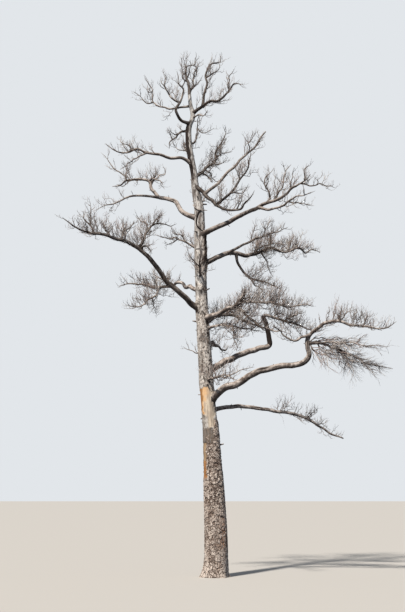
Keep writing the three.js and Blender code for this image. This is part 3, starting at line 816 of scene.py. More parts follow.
def between_twigs(stem, owner, lift, bush, spread, chance):
    """Smaller twigs on one stem: closer where it hangs, and longer where they lean out less."""
    line = stem["line"]
    if line.curve[-1, 2] < line.curve[0, 2]:
        bush = bush * HANGING_BUSH
    spacing = BETWEEN_SPACING / bush
    count = max(0, int((line.length - TWIG_FIRST / 2) / spacing))
    steps = np.arange(count)
    places = TWIG_FIRST / 2 + spacing * (steps + chance.uniform(-PLACE_LUCK, PLACE_LUCK, count))
    places = np.clip(places, FOOT_ROOM, line.length - TIP_ROOM)
    turns = np.radians(steps * GOLDEN_ANGLE + chance.uniform(-TWIG_SCATTER, TWIG_SCATTER, count))
    leans = np.radians(chance.uniform(*TWIG_LEAN, count)) * spread
    lengths = twig_sizes(line.length - places) * chance.uniform(*BETWEEN_LENGTHS, count)
    lengths = lengths * (1 + NARROW_LONGER - NARROW_LONGER * spread)
    feet = points_at(places, line.reached, line.curve)
    ahead = points_at(places + LOOK_AROUND, line.reached, line.curve)
    behind = points_at(places - LOOK_AROUND, line.reached, line.curve)
    foot_radii = np.interp(places, line.reached, line.radii)
    legs = twig_legs(feet, leaning(unit(ahead - behind), turns, leans), lengths, lift)
    curves = crooked_twigs(legs, lengths, FIRST_RINGS, BETWEEN_CROOK, chance)
    kept = keep_fitting(legs, foot_radii, lengths, owner) & inside_box(legs[:, 2])
    return pick_shoots(shoots(curves, lengths, foot_radii), kept)


print("between them, one about every", BETWEEN_SPACING, "m")

# %% [markdown]
# The finer orders take their places along each parent by even steps, shorter and finer towards its tip.
# Their lift is never below zero: on a hanging fan, too, they don't bend down.

# %% Finer twigs on those
SIDE_ORDER = dict(spacing=0.050, luck=(0.3, 0.8), root=0.0056, rings=5, crook=0.045)
FINE_ORDER = dict(spacing=0.046, luck=(0.4, 1.0), root=FINEST, rings=3, crook=0.06)
FIRST_STEP = 0.7
SHARE_ROOM = (0.08, 0.97)
PARENT_TURN = 61.0
FINER_SCATTER = 30
FINER_LEAN = (30, 62)
CHILD_LENGTH, CHILD_SHORTENING = 1.15, 0.75
CHILD_ROOT, THINNEST_ROOT = 0.9, 0.6
LIFT_LUCK = (0.2, 2.2)


def twigs_on(parents, spacing, luck, root, rings, crook, owner, lift, spread, chance):
    """Twigs on twigs. Those that leave their mass's space or the box are left out."""
    counts = (parents["lengths"] / spacing).astype(int)
    pick = np.repeat(np.arange(len(counts)), counts)
    order = np.arange(len(pick)) - np.repeat(np.cumsum(counts) - counts, counts)
    share = (order + FIRST_STEP + chance.uniform(-PLACE_LUCK, PLACE_LUCK, len(pick))) / counts[pick]
    share = np.clip(share, *SHARE_ROOM)
    curves = parents["curves"][pick]
    at = share * (curves.shape[1] - 1)
    low = np.minimum(at.astype(int), curves.shape[1] - 2)
    each = np.arange(len(pick))
    step = curves[each, low + 1] - curves[each, low]
    feet = curves[each, low] + step * (at - low)[:, None]
    scatter = chance.uniform(-FINER_SCATTER, FINER_SCATTER, len(pick))
    turns = np.radians(order * GOLDEN_ANGLE + pick * PARENT_TURN + scatter)
    leans = np.radians(chance.uniform(*FINER_LEAN, len(pick))) * spread
    lengths = parents["lengths"][pick] * (CHILD_LENGTH - CHILD_SHORTENING * share)
    lengths = lengths * chance.uniform(*luck, len(pick))
    roots = np.minimum(root, parents["roots"][pick] * (1 - share) ** LIMB_TAPER * CHILD_ROOT)
    lifts = lift * chance.uniform(*LIFT_LUCK, len(pick))
    legs = twig_legs(feet, leaning(unit(step), turns, leans), lengths, lifts)
    grown = dict(
        curves=crooked_twigs(legs, lengths, rings, crook, chance),
        roots=np.maximum(roots, root * THINNEST_ROOT),
        lengths=lengths,
        spray=parents["spray"][pick],
    )
    kept = in_own_space(legs[:, 2], owner) & in_own_space(legs[:, 1], owner) & inside_box(legs[:, 2])
    return pick_shoots(grown, kept)


print("fine twigs are", FINE_ORDER["root"] * 2000, "mm thick at most")

# %% Twigs of every order
MASS_SEED = 5000
FINER_LIFT, LEAST_LIFT = 1.5, 0.03


def grow_mass(index, grown):
    """All the twigs of one mass: [first, side, fine]."""
    chance = np.random.default_rng(MASS_SEED + index)
    lift, bush, spread = grown["lift"], grown["bush"], grown["spread"]
    batches = []
    for stem in stems:
        if stem["owner"] == grown["name"]:
            batches.append(source_twigs(stem, index, lift, chance))
            batches.append(between_twigs(stem, index, lift, bush, spread, chance))
    first = join_shoots(batches)
    first["spray"] = np.arange(len(first["roots"]))
    way = dict(owner=index, lift=max(lift * FINER_LIFT, LEAST_LIFT), spread=spread, chance=chance)
    sparser = SIDE_ORDER["spacing"] / min(1.0, bush)
    side = twigs_on(first, **{**SIDE_ORDER, "spacing": sparser}, **way)
    return [first, side, twigs_on(side, **FINE_ORDER, **way)]


mass_twigs = [grow_mass(index, grown) for index, grown in enumerate(limbs)]
for order, label in enumerate(("first", "side", "fine")):
    print(label, "twigs", sum(len(mass[order]["roots"]) for mass in mass_twigs))

# %% [markdown]
# ## Joined meshes from arrays
# Blender takes a mesh fastest as whole arrays: all points, all face corners, and where each face starts.
# One heap gathers tubes and twigs with their materials, their place on the unrolled map and any values
# that a material reads, and then becomes a single piece. Joining thousands of objects would be far
# slower.

# %% A heap that becomes one mesh
class Heap:
    def __init__(self):
        self.points, self.corners, self.sizes, self.slots, self.maps = [], [], [], [], []
        self.values = {}
        self.count = 0

    def add(self, points, faces, slot=0, unrolled=None, values=None):
        """faces are rows of equal length; slot is one number or one per face."""
        self.points.append(points)
        self.corners.append((faces + self.count).ravel())
        self.sizes.append(np.full(len(faces), faces.shape[1]))
        self.slots.append(np.broadcast_to(slot, len(faces)))
        self.maps.append(np.zeros((faces.size, 2)) if unrolled is None else unrolled.reshape(-1, 2))
        for key, value in (values or {}).items():
            self.values.setdefault(key, []).append(value.ravel())
        self.count += len(points)

    def fill(self, mesh, unrolled, smooth):
        """Hand all the arrays to a new mesh."""
        points, sizes = np.concatenate(self.points), np.concatenate(self.sizes)
        corners, slots = np.concatenate(self.corners), np.concatenate(self.slots)
        mesh.vertices.add(len(points))
        mesh.vertices.foreach_set("co", points.astype(np.float32).ravel())
        mesh.loops.add(len(corners))
        mesh.loops.foreach_set("vertex_index", corners.astype(np.int32))
        mesh.polygons.add(len(sizes))
        mesh.polygons.foreach_set("loop_start", (np.cumsum(sizes) - sizes).astype(np.int32))
        mesh.polygons.foreach_set("use_smooth", np.full(len(sizes), smooth))
        mesh.polygons.foreach_set("material_index", slots.astype(np.int32))
        for key, blocks in self.values.items():
            made = mesh.attributes.new(key, "FLOAT", "POINT")
            made.data.foreach_set("value", np.concatenate(blocks).astype(np.float32))
        if unrolled:
            layer = mesh.uv_layers.new(name="OFBake")
            layer.uv.foreach_set("vector", np.concatenate(self.maps).astype(np.float32).ravel())
        mesh.update(calc_edges=True)
        mesh.validate()

    def make(self, name, materials, nodes, unrolled=False, smooth=True):
        """One piece that stands for the named nodes of the model."""
        mesh = bpy.data.meshes.new(name)
        self.fill(mesh, unrolled, smooth)
        for material in materials:
            mesh.materials.append(material)
        piece = bpy.data.objects.new(name, mesh)
        bpy.context.scene.collection.objects.link(piece)
        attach(piece, "root")
        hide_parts(*nodes)
        triangles = int(sum((sizes - 2).sum() for sizes in self.sizes))
        print(name, "triangles", triangles, "stands for", len(nodes))


print("an empty heap has", Heap().count, "points")

# %% [markdown]
# ## Noise on an unrolled tube
# Trunk, boughs and stems are all tubes, so their relief is worked out on the unrolled tube, by the angle
# round it and the height along it. Smooth ripples make lumps, grain and torn edges. Plates are cells
# round scattered spots, much as bark cracks when the wood inside it grows. A displacement texture could
# do the same, but here the relief and the colours have to agree on which plate a point is on.

# %% Ripples
def ease(values, low, high):
    """0 below low, 1 above high, smooth between."""
    t = np.clip((values - low) / (high - low), 0, 1)
    return t * t * (3 - 2 * t)


def ripple(angle, height, around, tall, seed):
    """Smooth noise from -1 to 1, with so many cells in a ring and cells so tall."""
    chance = np.random.default_rng(seed)
    x = angle / (2 * np.pi) * around
    y = (height - height.min()) / tall
    grid = chance.uniform(-1, 1, (int(y.max()) + 2, around))
    column, row = np.floor(x).astype(int), np.floor(y).astype(int)
    across, upward = ease(x - column, 0, 1), ease(y - row, 0, 1)
    left, right = column % around, (column + 1) % around
    low = grid[row, left] * (1 - across) + grid[row, right] * across
    high = grid[row + 1, left] * (1 - across) + grid[row + 1, right] * across
    return low * (1 - upward) + high * upward


def ripples(angle, height, *layers):
    """Several ripples together. A layer is a size, its cells in a ring, how tall they are, and a seed."""
    return sum(size * ripple(angle, height, around, tall, seed) for size, around, tall, seed in layers)


print("a ripple in one ring:", ripple(np.arange(4.0), np.zeros(4), 6, 1.0, 1).round(2))

# %% Plates
SPOT_ROOM = (0.08, 0.92)
FAR_OFF = 9.0


def plates(angle, height, around, tall, seed):
    """Irregular plates: how far in from the rim, the way from the middle, and three numbers of its own."""
    chance = np.random.default_rng(seed)
    x = angle / (2 * np.pi) * around
    y = (height - height.min()) / tall + 1
    rows_up = int(y.max()) + 3
    spots = chance.uniform(*SPOT_ROOM, (rows_up, around, 2))
    luck = chance.uniform(0, 1, (rows_up, around, 3))
    nearest = np.full(x.shape, FAR_OFF)
    second = np.full(x.shape, FAR_OFF)
    offset = np.zeros(x.shape + (2,))
    own = np.zeros(x.shape + (3,))
    for up in (-1, 0, 1):
        for aside in (-1, 0, 1):
            column = np.floor(x).astype(int) + aside
            row = np.clip(np.floor(y).astype(int) + up, 0, rows_up - 1)
            spot = spots[row, column % around]
            away_x = x - column - spot[..., 0]
            away_y = y - row - spot[..., 1]
            gap = np.hypot(away_x, away_y)
            closer = gap < nearest
            second = np.where(closer, nearest, np.minimum(second, gap))
            nearest = np.where(closer, gap, nearest)
            offset[closer] = np.stack([away_x, away_y], -1)[closer]
            own[closer] = luck[row, column % around][closer]
    return second - nearest, offset, own


print("plates keep their spots", SPOT_ROOM, "of the way across a cell")

# %% [markdown]
# ## Shader maths
# A material here is written as a sum. The wrapper below holds one socket and turns each operator into a
# Math node, so `1 - mask` works as it reads. Colours are mixed by a Mix node, since Math would turn them
# grey, and places are moved by Vector Math. Wiring each node by hand would say the same in five times
# the lines.

# %% Sockets with operators
class Wire:
    def __init__(self, nodes, socket):
        self.nodes, self.socket = nodes, socket

    def __add__(self, other):
        return self.nodes.math("ADD", self, other)

    def __sub__(self, other):
        return self.nodes.math("SUBTRACT", self, other)

    def __rsub__(self, other):
        return self.nodes.math("SUBTRACT", other, self)

    def __mul__(self, other):
        return self.nodes.math("MULTIPLY", self, other)

    __radd__ = __add__
    __rmul__ = __mul__


class Nodes:
    """A node tree in which every node is made and plugged in the same way."""

    def __init__(self, tree):
        self.tree = tree

    def plug(self, node, name, value):
        socket = next(s for s in node.inputs if name in (s.identifier, s.name))
        if isinstance(value, Wire):
            self.tree.links.new(value.socket, socket)
        else:
            socket.default_value = value

    def node(self, kind, settings, sockets, out=0):
        made = self.tree.nodes.new("ShaderNode" + kind)
        for name, value in settings.items():
            setattr(made, name, value)
        for name, value in sockets.items():
            self.plug(made, name, value)
        return Wire(self, made.outputs[out])

    def math(self, operation, first, second):
        return self.node("Math", {"operation": operation}, {"Value": first, "Value_001": second})


print("a wire adds, subtracts and multiplies")

# %% A material as a sum of its parts
GLOSS = 0.25
BUMP_STRENGTH = 0.6


class Paint(Nodes):
    """A material on one Principled shader."""

    def __init__(self, name):
        self.material = bpy.data.materials.new(name)
        self.material.use_nodes = True
        super().__init__(self.material.node_tree)
        self.shader = self.tree.nodes["Principled BSDF"]
        self.shader.inputs["Specular IOR Level"].default_value = GLOSS

    def mix(self, first, second, factor):
        settings = {"data_type": "RGBA", "clamp_factor": True}
        return self.node("Mix", settings, {"Factor_Float": factor, "A_Color": first, "B_Color": second}, 2)

    def step(self, value, low, high):
        """0 below low, 1 above high, smooth between."""
        sockets = {"Value": value, "From Min": low, "From Max": high}
        return self.node("MapRange", {"interpolation_type": "SMOOTHSTEP"}, sockets)

    def blend(self, first, second, value, low, high):
        """The first colour where a value is below low, the second where it is above high."""
        return self.mix(first, second, self.step(value, low, high))

    def value(self, name):
        """A number that the mesh carries at each point."""
        return self.node("Attribute", {"attribute_name": name}, {}, 2)

    def place(self, stretch=(1, 1, 1)):
        """Where a point is, in the object's own metres, stretched for grain."""
        own = self.node("TexCoord", {}, {}, 3)
        return self.node("Mapping", {}, {"Vector": own, "Scale": stretch})

    def noise(self, place, scale, detail=4.0, roughness=0.55, out=0):
        sockets = {"Vector": place, "Scale": scale, "Detail": detail, "Roughness": roughness}
        return self.node("TexNoise", {}, sockets, out)

    def shift(self, place, way, far):
        """Moves each place by a noise's three numbers, times so many metres."""
        sockets = {"Vector": way, "Vector_001": (far, far, far), "Vector_002": place}
        return self.node("VectorMath", {"operation": "MULTIPLY_ADD"}, sockets)

    def flakes(self, place, scale):
        """A number of its own for each small cell."""
        return self.node("TexVoronoi", {}, {"Vector": place, "Scale": scale}, 1)

    def cracks(self, place, scale):
        """How far a point is from the edge of its small cell."""
        return self.node("TexVoronoi", {"feature": "DISTANCE_TO_EDGE"}, {"Vector": place, "Scale": scale})

    def finish(self, colour, roughness, height=None, depth=None):
        """Plugs in the colour and the roughness and, where there is a height, a bump so many metres deep."""
        self.plug(self.shader, "Base Color", colour)
        self.plug(self.shader, "Roughness", roughness)
        if height is not None:
            sockets = {"Height": height, "Distance": depth, "Strength": BUMP_STRENGTH}
            self.plug(self.shader, "Normal", self.node("Bump", {}, sockets))
        print("material", self.material.name, "nodes", len(self.tree.nodes))
        return self.material


def tone(red, green, blue):
    """A colour as a paint chart gives it, turned into the shader's own linear numbers."""
    shares = [part / 255 for part in (red, green, blue)]
    return tuple(s / 12.92 if s <= 0.04045 else ((s + 0.055) / 1.055) ** 2.4 for s in shares) + (1.0,)


print("a chart's middle grey is", round(tone(128, 128, 128)[0], 3), "in a shader")

# %% [markdown]
# ## Thick scaly bark
# Up to about three metres the bark is a shell of small plates, split by dark cracks that go brownish at
# their flanks. It could be a bump texture, but the trunk's edge against the light would stay smooth, so
# the plates are real relief: each point of a fine grid finds its nearest plate, and plates stand proud,
# lean and lift their lower edges. The material reads the same numbers, so colour and relief agree.
# Flakes and grit too small for the grid are cells and noise in the material, and flakes differ a little
# in roughness.

# %% The bark's own finish
FLAKE_SCALE = 58
# The cracks are painted near black and their flanks brown: partly the brown of the inner bark, partly
# painted shade deep in the cracks.
CRACK, CRACK_FLANK = tone(30, 22, 18), tone(106, 85, 72)
PIT, FLAKE_EDGE = tone(52, 41, 35), tone(72, 58, 50)
DARK_FLAKE, PALE_FLAKE = tone(112, 94, 84), tone(238, 222, 208)
BROWN_FLAKE, RUSTY_FLAKE = tone(172, 142, 118), tone(190, 128, 78)
DARK_TAN, PALE_TAN = tone(146, 120, 94), tone(208, 178, 142)
DARK_RUST, PALE_RUST = tone(142, 96, 60), tone(204, 148, 94)


def paint_scaly_bark():
    paint = Paint("scaly_bark")
    place = paint.place()
    grit = paint.noise(place, 55, 6, 0.7)
    broad = paint.noise(place, 5, 3)
    plate = paint.value("plate")
    luck = paint.value("luck")
    upright = paint.place((1, 1, 0.75))
    warped = paint.shift(upright, paint.noise(place, 30, 4, out=1), 0.035)
    flake = paint.flakes(warped, FLAKE_SCALE)
    edge = paint.step(paint.cracks(warped, FLAKE_SCALE), 0.0, 0.10)
    face = paint.blend(DARK_FLAKE, PALE_FLAKE, luck * 0.3 + flake * 0.45 + grit * 0.6, 0.48, 0.92)
    face = paint.mix(face, BROWN_FLAKE, paint.step(broad * 0.6 + flake * 0.3, 0.48, 0.64) * 0.4)
    face = paint.mix(face, RUSTY_FLAKE, paint.step(flake + grit, 1.0, 1.2) * paint.value("rusty"))
    face = paint.mix(FLAKE_EDGE, face, edge * 0.7 + 0.3)
    face = paint.blend(PIT, face, paint.noise(place, 40, 3, 0.6), 0.34, 0.42)
    # Painted shade: cracks and their flanks go dark by the mesh's plate value, over the inner bark's brown.
    flank = paint.blend(CRACK_FLANK, face, plate, 0.2, 0.7)
    colour = paint.blend(CRACK, flank, plate, 0.05, 0.55)
    streaks = paint.noise(paint.place((1, 1, 0.12)), 60, 4)
    inner = paint.blend(DARK_TAN, PALE_TAN, streaks, 0.40, 0.62)
    rust = paint.blend(DARK_RUST, PALE_RUST, streaks, 0.38, 0.60)
    inner = paint.blend(rust, inner, paint.value("tan"), 0.3, 0.7)
    colour = paint.mix(colour, inner, paint.value("bare"))
    rough = 0.98 - 0.16 * flake * (1 - grit)
    return paint.finish(colour, rough, grit * 0.6 + flake * 0.7 + edge * 0.6, depth=0.006)


scaly_bark = paint_scaly_bark()

# %% [markdown]
# ## Bleached wood
# Above the scales the bark thins to flakes and streaks and then goes. Long cracks follow the grain, and
# what is left of the bark stays darker. The window on the left is younger damage: cream wood with an
# ochre rim. Noise that is stretched along the trunk gives the streaks. Where each finish lies comes from
# the mesh, so one material serves the whole upper trunk. Worn wood is a little smoother than what bark
# is left.

# %% The finish of the upper trunk
DARK_WOOD, PALE_WOOD, WOOD_CHECK = tone(122, 114, 108), tone(236, 230, 223), tone(58, 48, 43)
DARK_SCRAP, PALE_SCRAP, SCRAP_RIM = tone(130, 120, 111), tone(234, 225, 215), tone(74, 60, 52)
MOTTLE, FLECK, SCAR_AND_SHADE_TONE = tone(112, 91, 78), tone(50, 41, 37), tone(48, 39, 35)
DARK_CREAM, PALE_CREAM = tone(180, 163, 146), tone(226, 208, 184)
PALE_OCHRE, DARK_OCHRE = tone(238, 192, 142), tone(172, 124, 78)
BROWN_STREAK = tone(186, 154, 124)


def paint_upper_trunk():
    paint = Paint("weathered_trunk")
    streaks = paint.noise(paint.place((1, 1, 0.12)), 42, 6, 0.6)
    blotches = paint.noise(paint.place((1, 1, 0.4)), 9, 4)
    grit = paint.noise(paint.place(), 110, 5, 0.6)
    groove = paint.value("groove")
    wood = paint.blend(DARK_WOOD, PALE_WOOD, streaks * 0.6 + blotches * 0.5, 0.44, 0.64)
    wood = paint.blend(WOOD_CHECK, wood, groove + streaks * 0.5, 0.34, 0.62)
    scraps = paint.blend(DARK_SCRAP, PALE_SCRAP, grit * 0.5 + blotches * 0.6, 0.40, 0.64)
    scraps = paint.blend(SCRAP_RIM, scraps, groove, 0.02, 0.35)
    colour = paint.mix(wood, scraps, paint.value("bark"))
    mottle = paint.noise(paint.place((1, 1, 0.35)), 36, 5, 0.7)
    colour = paint.mix(colour, MOTTLE, paint.step(mottle, 0.50, 0.58) * paint.value("flecked") * 0.8)
    flecks = paint.noise(paint.place((1, 1, 0.6)), 17, 5, 0.7)
    colour = paint.mix(colour, FLECK, paint.step(flecks, 0.52, 0.59) * paint.value("flecked"))
    cream = paint.blend(DARK_CREAM, PALE_CREAM, streaks * 0.5 + blotches * 0.5, 0.40, 0.56)
    ochre = paint.value("ochre") + streaks * 0.3
    fresh = paint.blend(cream, PALE_OCHRE, ochre, 0.15, 0.70)
    fresh = paint.blend(fresh, DARK_OCHRE, ochre, 0.60, 0.95)
    brown = paint.value("brown") * paint.step(streaks + grit * 0.5, 0.62, 0.92)
    colour = paint.mix(colour, BROWN_STREAK, brown * 0.8)
    colour = paint.mix(colour, fresh, paint.value("fresh"))
    # Painted shade and scars: one dark tone where the mesh's value says, for old bark scars and the brown
    # band, and for painted shade under limb feet, on the black ridge and along the crease.
    colour = paint.mix(colour, SCAR_AND_SHADE_TONE, paint.value("scar"))
    worn = (1 - paint.value("bark")) * paint.step(streaks, 0.35, 0.65)
    return paint.finish(colour, 0.94 - 0.16 * worn, streaks + grit * 0.6, depth=0.003)


upper_trunk_wood = paint_upper_trunk()

# %% The finish of the boughs
DARK_SIDE, PALE_SIDE = tone(70, 60, 55), tone(126, 113, 105)
DARK_TOP, PALE_TOP = tone(146, 133, 124), tone(214, 201, 191)
BOUGH_CHECK, BOUGH_BARK, BOUGH_SHADE = tone(50, 42, 38), tone(88, 74, 66), tone(44, 36, 32)


def paint_bough():
    paint = Paint("weathered_bough")
    blotches = paint.noise(paint.place(), 11, 5, 0.6)
    grit = paint.noise(paint.place(), 95, 5, 0.6)
    groove = paint.value("groove")
    upward = paint.value("upward")
    side = paint.blend(DARK_SIDE, PALE_SIDE, blotches + grit * 0.4, 0.5, 0.9)
    top = paint.blend(DARK_TOP, PALE_TOP, blotches + grit * 0.3, 0.45, 0.85)
    # Painted light and shade: the top is painted pale and the underside dark by how far each point faces up,
    # over the real bleaching of the top.
    colour = paint.blend(side, top, upward + blotches * 0.6, 0.45, 1.0)
    colour = paint.blend(BOUGH_CHECK, colour, groove + grit * 0.2, 0.12, 0.5)
    colour = paint.mix(colour, BOUGH_BARK, paint.value("bark") * 0.75)
    # Painted shade: a limb's shade value darkens it towards BOUGH_SHADE, in part for the shadow it lies in.
    colour = paint.mix(colour, BOUGH_SHADE, paint.value("shade") * paint.step(blotches, 0.0, 0.35))
    rough = 0.94 - 0.18 * upward * (1 - paint.value("bark"))
    return paint.finish(colour, rough, grit + groove * 0.5, depth=0.0025)


bough_wood = paint_bough()

# %% [markdown]
# ## The trunk's meshes
# The shell of scales and the wood above are two pieces, because the real bark is a shell over the wood
# too. Each is a fine grid round the trunk's line, pushed in and out by its relief, with a flat fan over
# either end. The foot spreads over five roots and ends in a flat cut.

# %% A tube from rings of points
def grid_faces(rings, columns):
    """Quads round a tube of rings, and each corner's place on the unrolled map."""
    ring, column = np.meshgrid(np.arange(rings - 1), np.arange(columns), indexing="ij")
    after = (column + 1) % columns
    faces = np.stack([
        ring * columns + column,
        ring * columns + after,
        (ring + 1) * columns + after,
        (ring + 1) * columns + column,
    ], -1).reshape(-1, 4)
    left, right = column / columns, (column + 1) / columns
    low, high = ring / (rings - 1), (ring + 1) / (rings - 1)
    corners = [(left, low), (right, low), (right, high), (left, high)]
    unrolled = np.stack([np.stack(corner, -1) for corner in corners], 2)
    return faces, unrolled.reshape(-1, 4, 2)


def cap(heap, first, columns, middle, upward, values):
    """A flat fan over a ring that is already in the heap, whose first point has this number."""
    ring = first + np.arange(columns) - heap.count
    after = np.roll(ring, -1)
    hub = np.zeros(columns, int)
    faces = np.stack([hub, ring, after] if upward else [hub, after, ring], -1)
    heap.add(np.array([middle]), faces, values={key: np.zeros(1) for key in values})


def add_skin(heap, points, foot, top, values, strip=0, strips=1, margin=0.0):
    """A closed tube from rings of points, on its own strip of the unrolled map."""
    rings, columns = points.shape[:2]
    faces, unrolled = grid_faces(rings, columns)
    unrolled = unrolled * (1 - 2 * margin) + margin
    unrolled[..., 0] = (strip + unrolled[..., 0]) / strips
    first = heap.count
    heap.add(points.reshape(-1, 3), faces, unrolled=unrolled, values=values)
    cap(heap, first, columns, foot, False, values)
    cap(heap, first + (rings - 1) * columns, columns, top, True, values)


print("a tube of 3 rings of 8 points has", len(grid_faces(3, 8)[0]), "quads and two fans")

# %% The trunk's surface
FLARE_SPREAD, FLARE_RIDGE, FLARE_FADE, FLARE_RIDGES, FLARE_WARP = 0.1, 0.24, 0.150, 5, 0.35
ROUND_FIT = 0.985


def flare(height, angle):
    """How much wider the trunk is where its foot spreads over the roots."""
    ridge = 0.5 + 0.5 * np.cos(FLARE_RIDGES * (angle + FLARE_WARP * np.sin(2 * angle)))
    return 1 + (FLARE_SPREAD + FLARE_RIDGE * ridge) * np.exp(-height / FLARE_FADE)


def trunk_grid(low, high, rows, columns):
    angle, height = np.meshgrid(np.arange(columns) / columns * 2 * np.pi, np.linspace(low, high, rows))
    return angle, height


def trunk_points(angle, height, relief):
    middle_x = flow(height, TRUNK_STATIONS[:, 0], TRUNK_STATIONS[:, 1])
    radius = flow(height, TRUNK_STATIONS[:, 0], TRUNK_STATIONS[:, 2])
    reach = radius * ROUND_FIT * flare(height, angle) + relief
    return np.stack([middle_x + reach * np.cos(angle), sway(height) + reach * np.sin(angle), height], -1)


def facing(angle, bearing):
    """1 on the side of a bearing in degrees, -1 on the far side."""
    return np.cos(angle - math.radians(bearing))


def off(angle, bearing):
    """How far to either side of a bearing a place is, in radians."""
    return np.abs(angle - math.radians(bearing))


def bump_at(angle, height, at_angle, at_height, wide, tall):
    """A round swelling, 1 at its middle."""
    turn = (angle - at_angle + np.pi) % (2 * np.pi) - np.pi
    return np.exp(-((turn / wide) ** 2) - ((height - at_height) / tall) ** 2)


print("at its foot the trunk is up to", round(float(flare(0, np.arange(7)).max()), 2), "times as wide")

# %% [markdown]
# A plate rises steeply from its cracks, leans by chance and lifts its lower edge, as old pine bark does.
# Not all cracks are open: where they are closed, neighbouring plates run together. Plates get smaller
# higher up. The fine grid and no smoothing keep their edges crisp.

# %% The plates of the shell
SHELL_TOP, SHELL_TUCK = 3.20, 0.28
SHELL_COLUMNS, SHELL_ROWS = 200, 446
PLATES_ROUND, PLATE_TALL, PLATE_SEED = 27, 0.088, 15
SMALLER_PER_METRE = 0.05
SIDEWAYS_WARP = ((0.10, 11, 0.15, 11), (0.05, 29, 0.055, 12), (0.02, 64, 0.025, 22))
UPWARD_WARP = ((0.045, 10, 0.16, 13), (0.022, 27, 0.06, 14))
OPEN_CRACKS = ((1.0, 17, 0.11, 23), (0.5, 40, 0.05, 24))
FINE_RELIEF = ((0.004, 90, 0.018, 17), (0.003, 50, 0.03, 25))
BROAD_RELIEF = (0.008, 7, 0.45, 18)
PLATE_DEPTH, PLATE_UNEVEN, PLATE_LEAN = 0.018, 0.014, 0.024
SUNK, DEEPEST, PROUDEST = 0.013, -0.03, 0.008

angle, height = trunk_grid(0, SHELL_TOP + SHELL_TUCK, SHELL_ROWS, SHELL_COLUMNS)
bent = angle + ripples(angle, height, *SIDEWAYS_WARP)
raised = (height + ripples(angle, height, *UPWARD_WARP)) * (1 + SMALLER_PER_METRE * height)
rim, offset, luck = plates(bent, raised, PLATES_ROUND, PLATE_TALL, PLATE_SEED)
opened = ease(ripples(angle, height, *OPEN_CRACKS), -0.5, 0.2)
opened = np.maximum(opened, ease(0.45 - height, 0.0, 0.3))
plate = 1 - (1 - ease(rim, 0.0, 0.18)) * (0.25 + 0.75 * opened)
thick = 1.0 - 0.35 * ease(height, 1.2, 3.2)
relief = PLATE_DEPTH * plate + PLATE_UNEVEN * (luck[..., 0] - 0.5)
tilt = offset[..., 0] * (luck[..., 1] - 0.5) - offset[..., 1] * (0.15 + 0.6 * luck[..., 2])
relief += PLATE_LEAN * tilt
relief += ripples(angle, height, *FINE_RELIEF)
relief += ripples(angle, height, BROAD_RELIEF)
relief = np.clip(relief * thick - SUNK, DEEPEST, PROUDEST)
print("plates cover", f"{(plate > 0.5).mean():.0%}", "of the shell")

# %% [markdown]
# A narrow strip on the left has lost its scales and shows tan and rusty inner bark. On the right the
# scales are thickest and reach highest. The shell's top ends in a ragged step and then dives inside the
# wood.

# %% The strip without scales, and the ragged top
STRIP_BEARING, STRIP_HALF_WIDTH, STRIP_DEPTH = 199, 36, 0.010
THICK_BEARING, THICK_MORE = 352, 0.026
LOW_BEARING = 240
RUSTY_BEARING, RUSTY_HEIGHT, RUSTY_SIZE = 312, 0.85, 0.35
TOP_DIVE = 0.040

strip_edge = 0.35 * ripple(angle, height, 30, 0.05, 19)
turn = (angle - math.radians(STRIP_BEARING)) / math.radians(STRIP_HALF_WIDTH)
strip = ease(1 - np.abs(turn) + strip_edge, 0.0, 0.35) * ease(height, 2.02, 2.12)
relief = relief * (1 - strip) - STRIP_DEPTH * strip
right_side = ease(facing(angle, THICK_BEARING), 0.25, 0.85)
relief += THICK_MORE * right_side * ease(height, 2.5, 3.05)
top = SHELL_TOP + 0.07 * ripple(angle, height * 0, 14, 1.0, 20) + 0.03 * ripple(angle, height, 40, 0.05, 21)
top += 0.15 * right_side - 0.22 * ease(facing(angle, LOW_BEARING), 0.2, 0.9)
ended = ease(height, top - 0.02, top + 0.03)
relief = relief * (1 - ended) - TOP_DIVE * ended
values = {
    "plate": plate,
    "luck": luck[..., 0] + 0.32 * ease(0.9 - height, 0, 0.9) - 0.14 * ease(height, 1.8, 2.8),
    "bare": strip,
    "tan": ease(height + 0.05 * strip_edge, 2.36, 2.52),
    "rusty": bump_at(angle, height, math.radians(RUSTY_BEARING), RUSTY_HEIGHT, RUSTY_SIZE, RUSTY_SIZE),
}
heap = Heap()
foot, top_middle = trunk_straight(0)[0], trunk_straight(SHELL_TOP + SHELL_TUCK)[0]
add_skin(heap, trunk_points(angle, height, relief), foot, top_middle, values)
heap.make("scaly_bark_shell", [scaly_bark], ["trunk"], unrolled=True, smooth=False)

# %% [markdown]
# The wood above the shell starts a little below the shell's top, inside it. It carries what is left of
# its bark: thin plates up to the middle of the crown, then scraps. Its grain twists slowly round the
# trunk, and long checks split it where it has dried.

# %% Grain, checks and thin bark
WOOD_START = 2.76
WOOD_COLUMNS, WOOD_ROWS = 96, 560
GRAIN_TWIST = 0.16
GRAIN = ((0.6, 34, 0.55, 32), (0.4, 19, 0.9, 33))
RAGGED = ((0.5, 8, 0.16, 37), (0.3, 20, 0.06, 38))

angle, height = trunk_grid(WOOD_START, TRUNK_TOP, WOOD_ROWS, WOOD_COLUMNS)
twist = angle + GRAIN_TWIST * (height - WOOD_START) + 0.05 * ripple(angle, height, 9, 0.3, 31)
grain = ripples(twist, height, *GRAIN)
checks = ease(np.abs(ripple(twist, height, 15, 0.7, 34)), 0.0, 0.10)
rim, offset, luck = plates(angle + 0.1 * ripple(angle, height, 9, 0.1, 35), height, 13, 0.085, 36)
plate = ease(rim, 0.0, 0.3)
ragged = ripples(angle, height, *RAGGED)
bark = ease(1.15 - (height - 5.2) / 2.6 + ragged * 1.4 + 0.35 * facing(angle, 20), 0.35, 0.65)
print("thin bark covers", f"{bark.mean():.0%}", "of the wood")

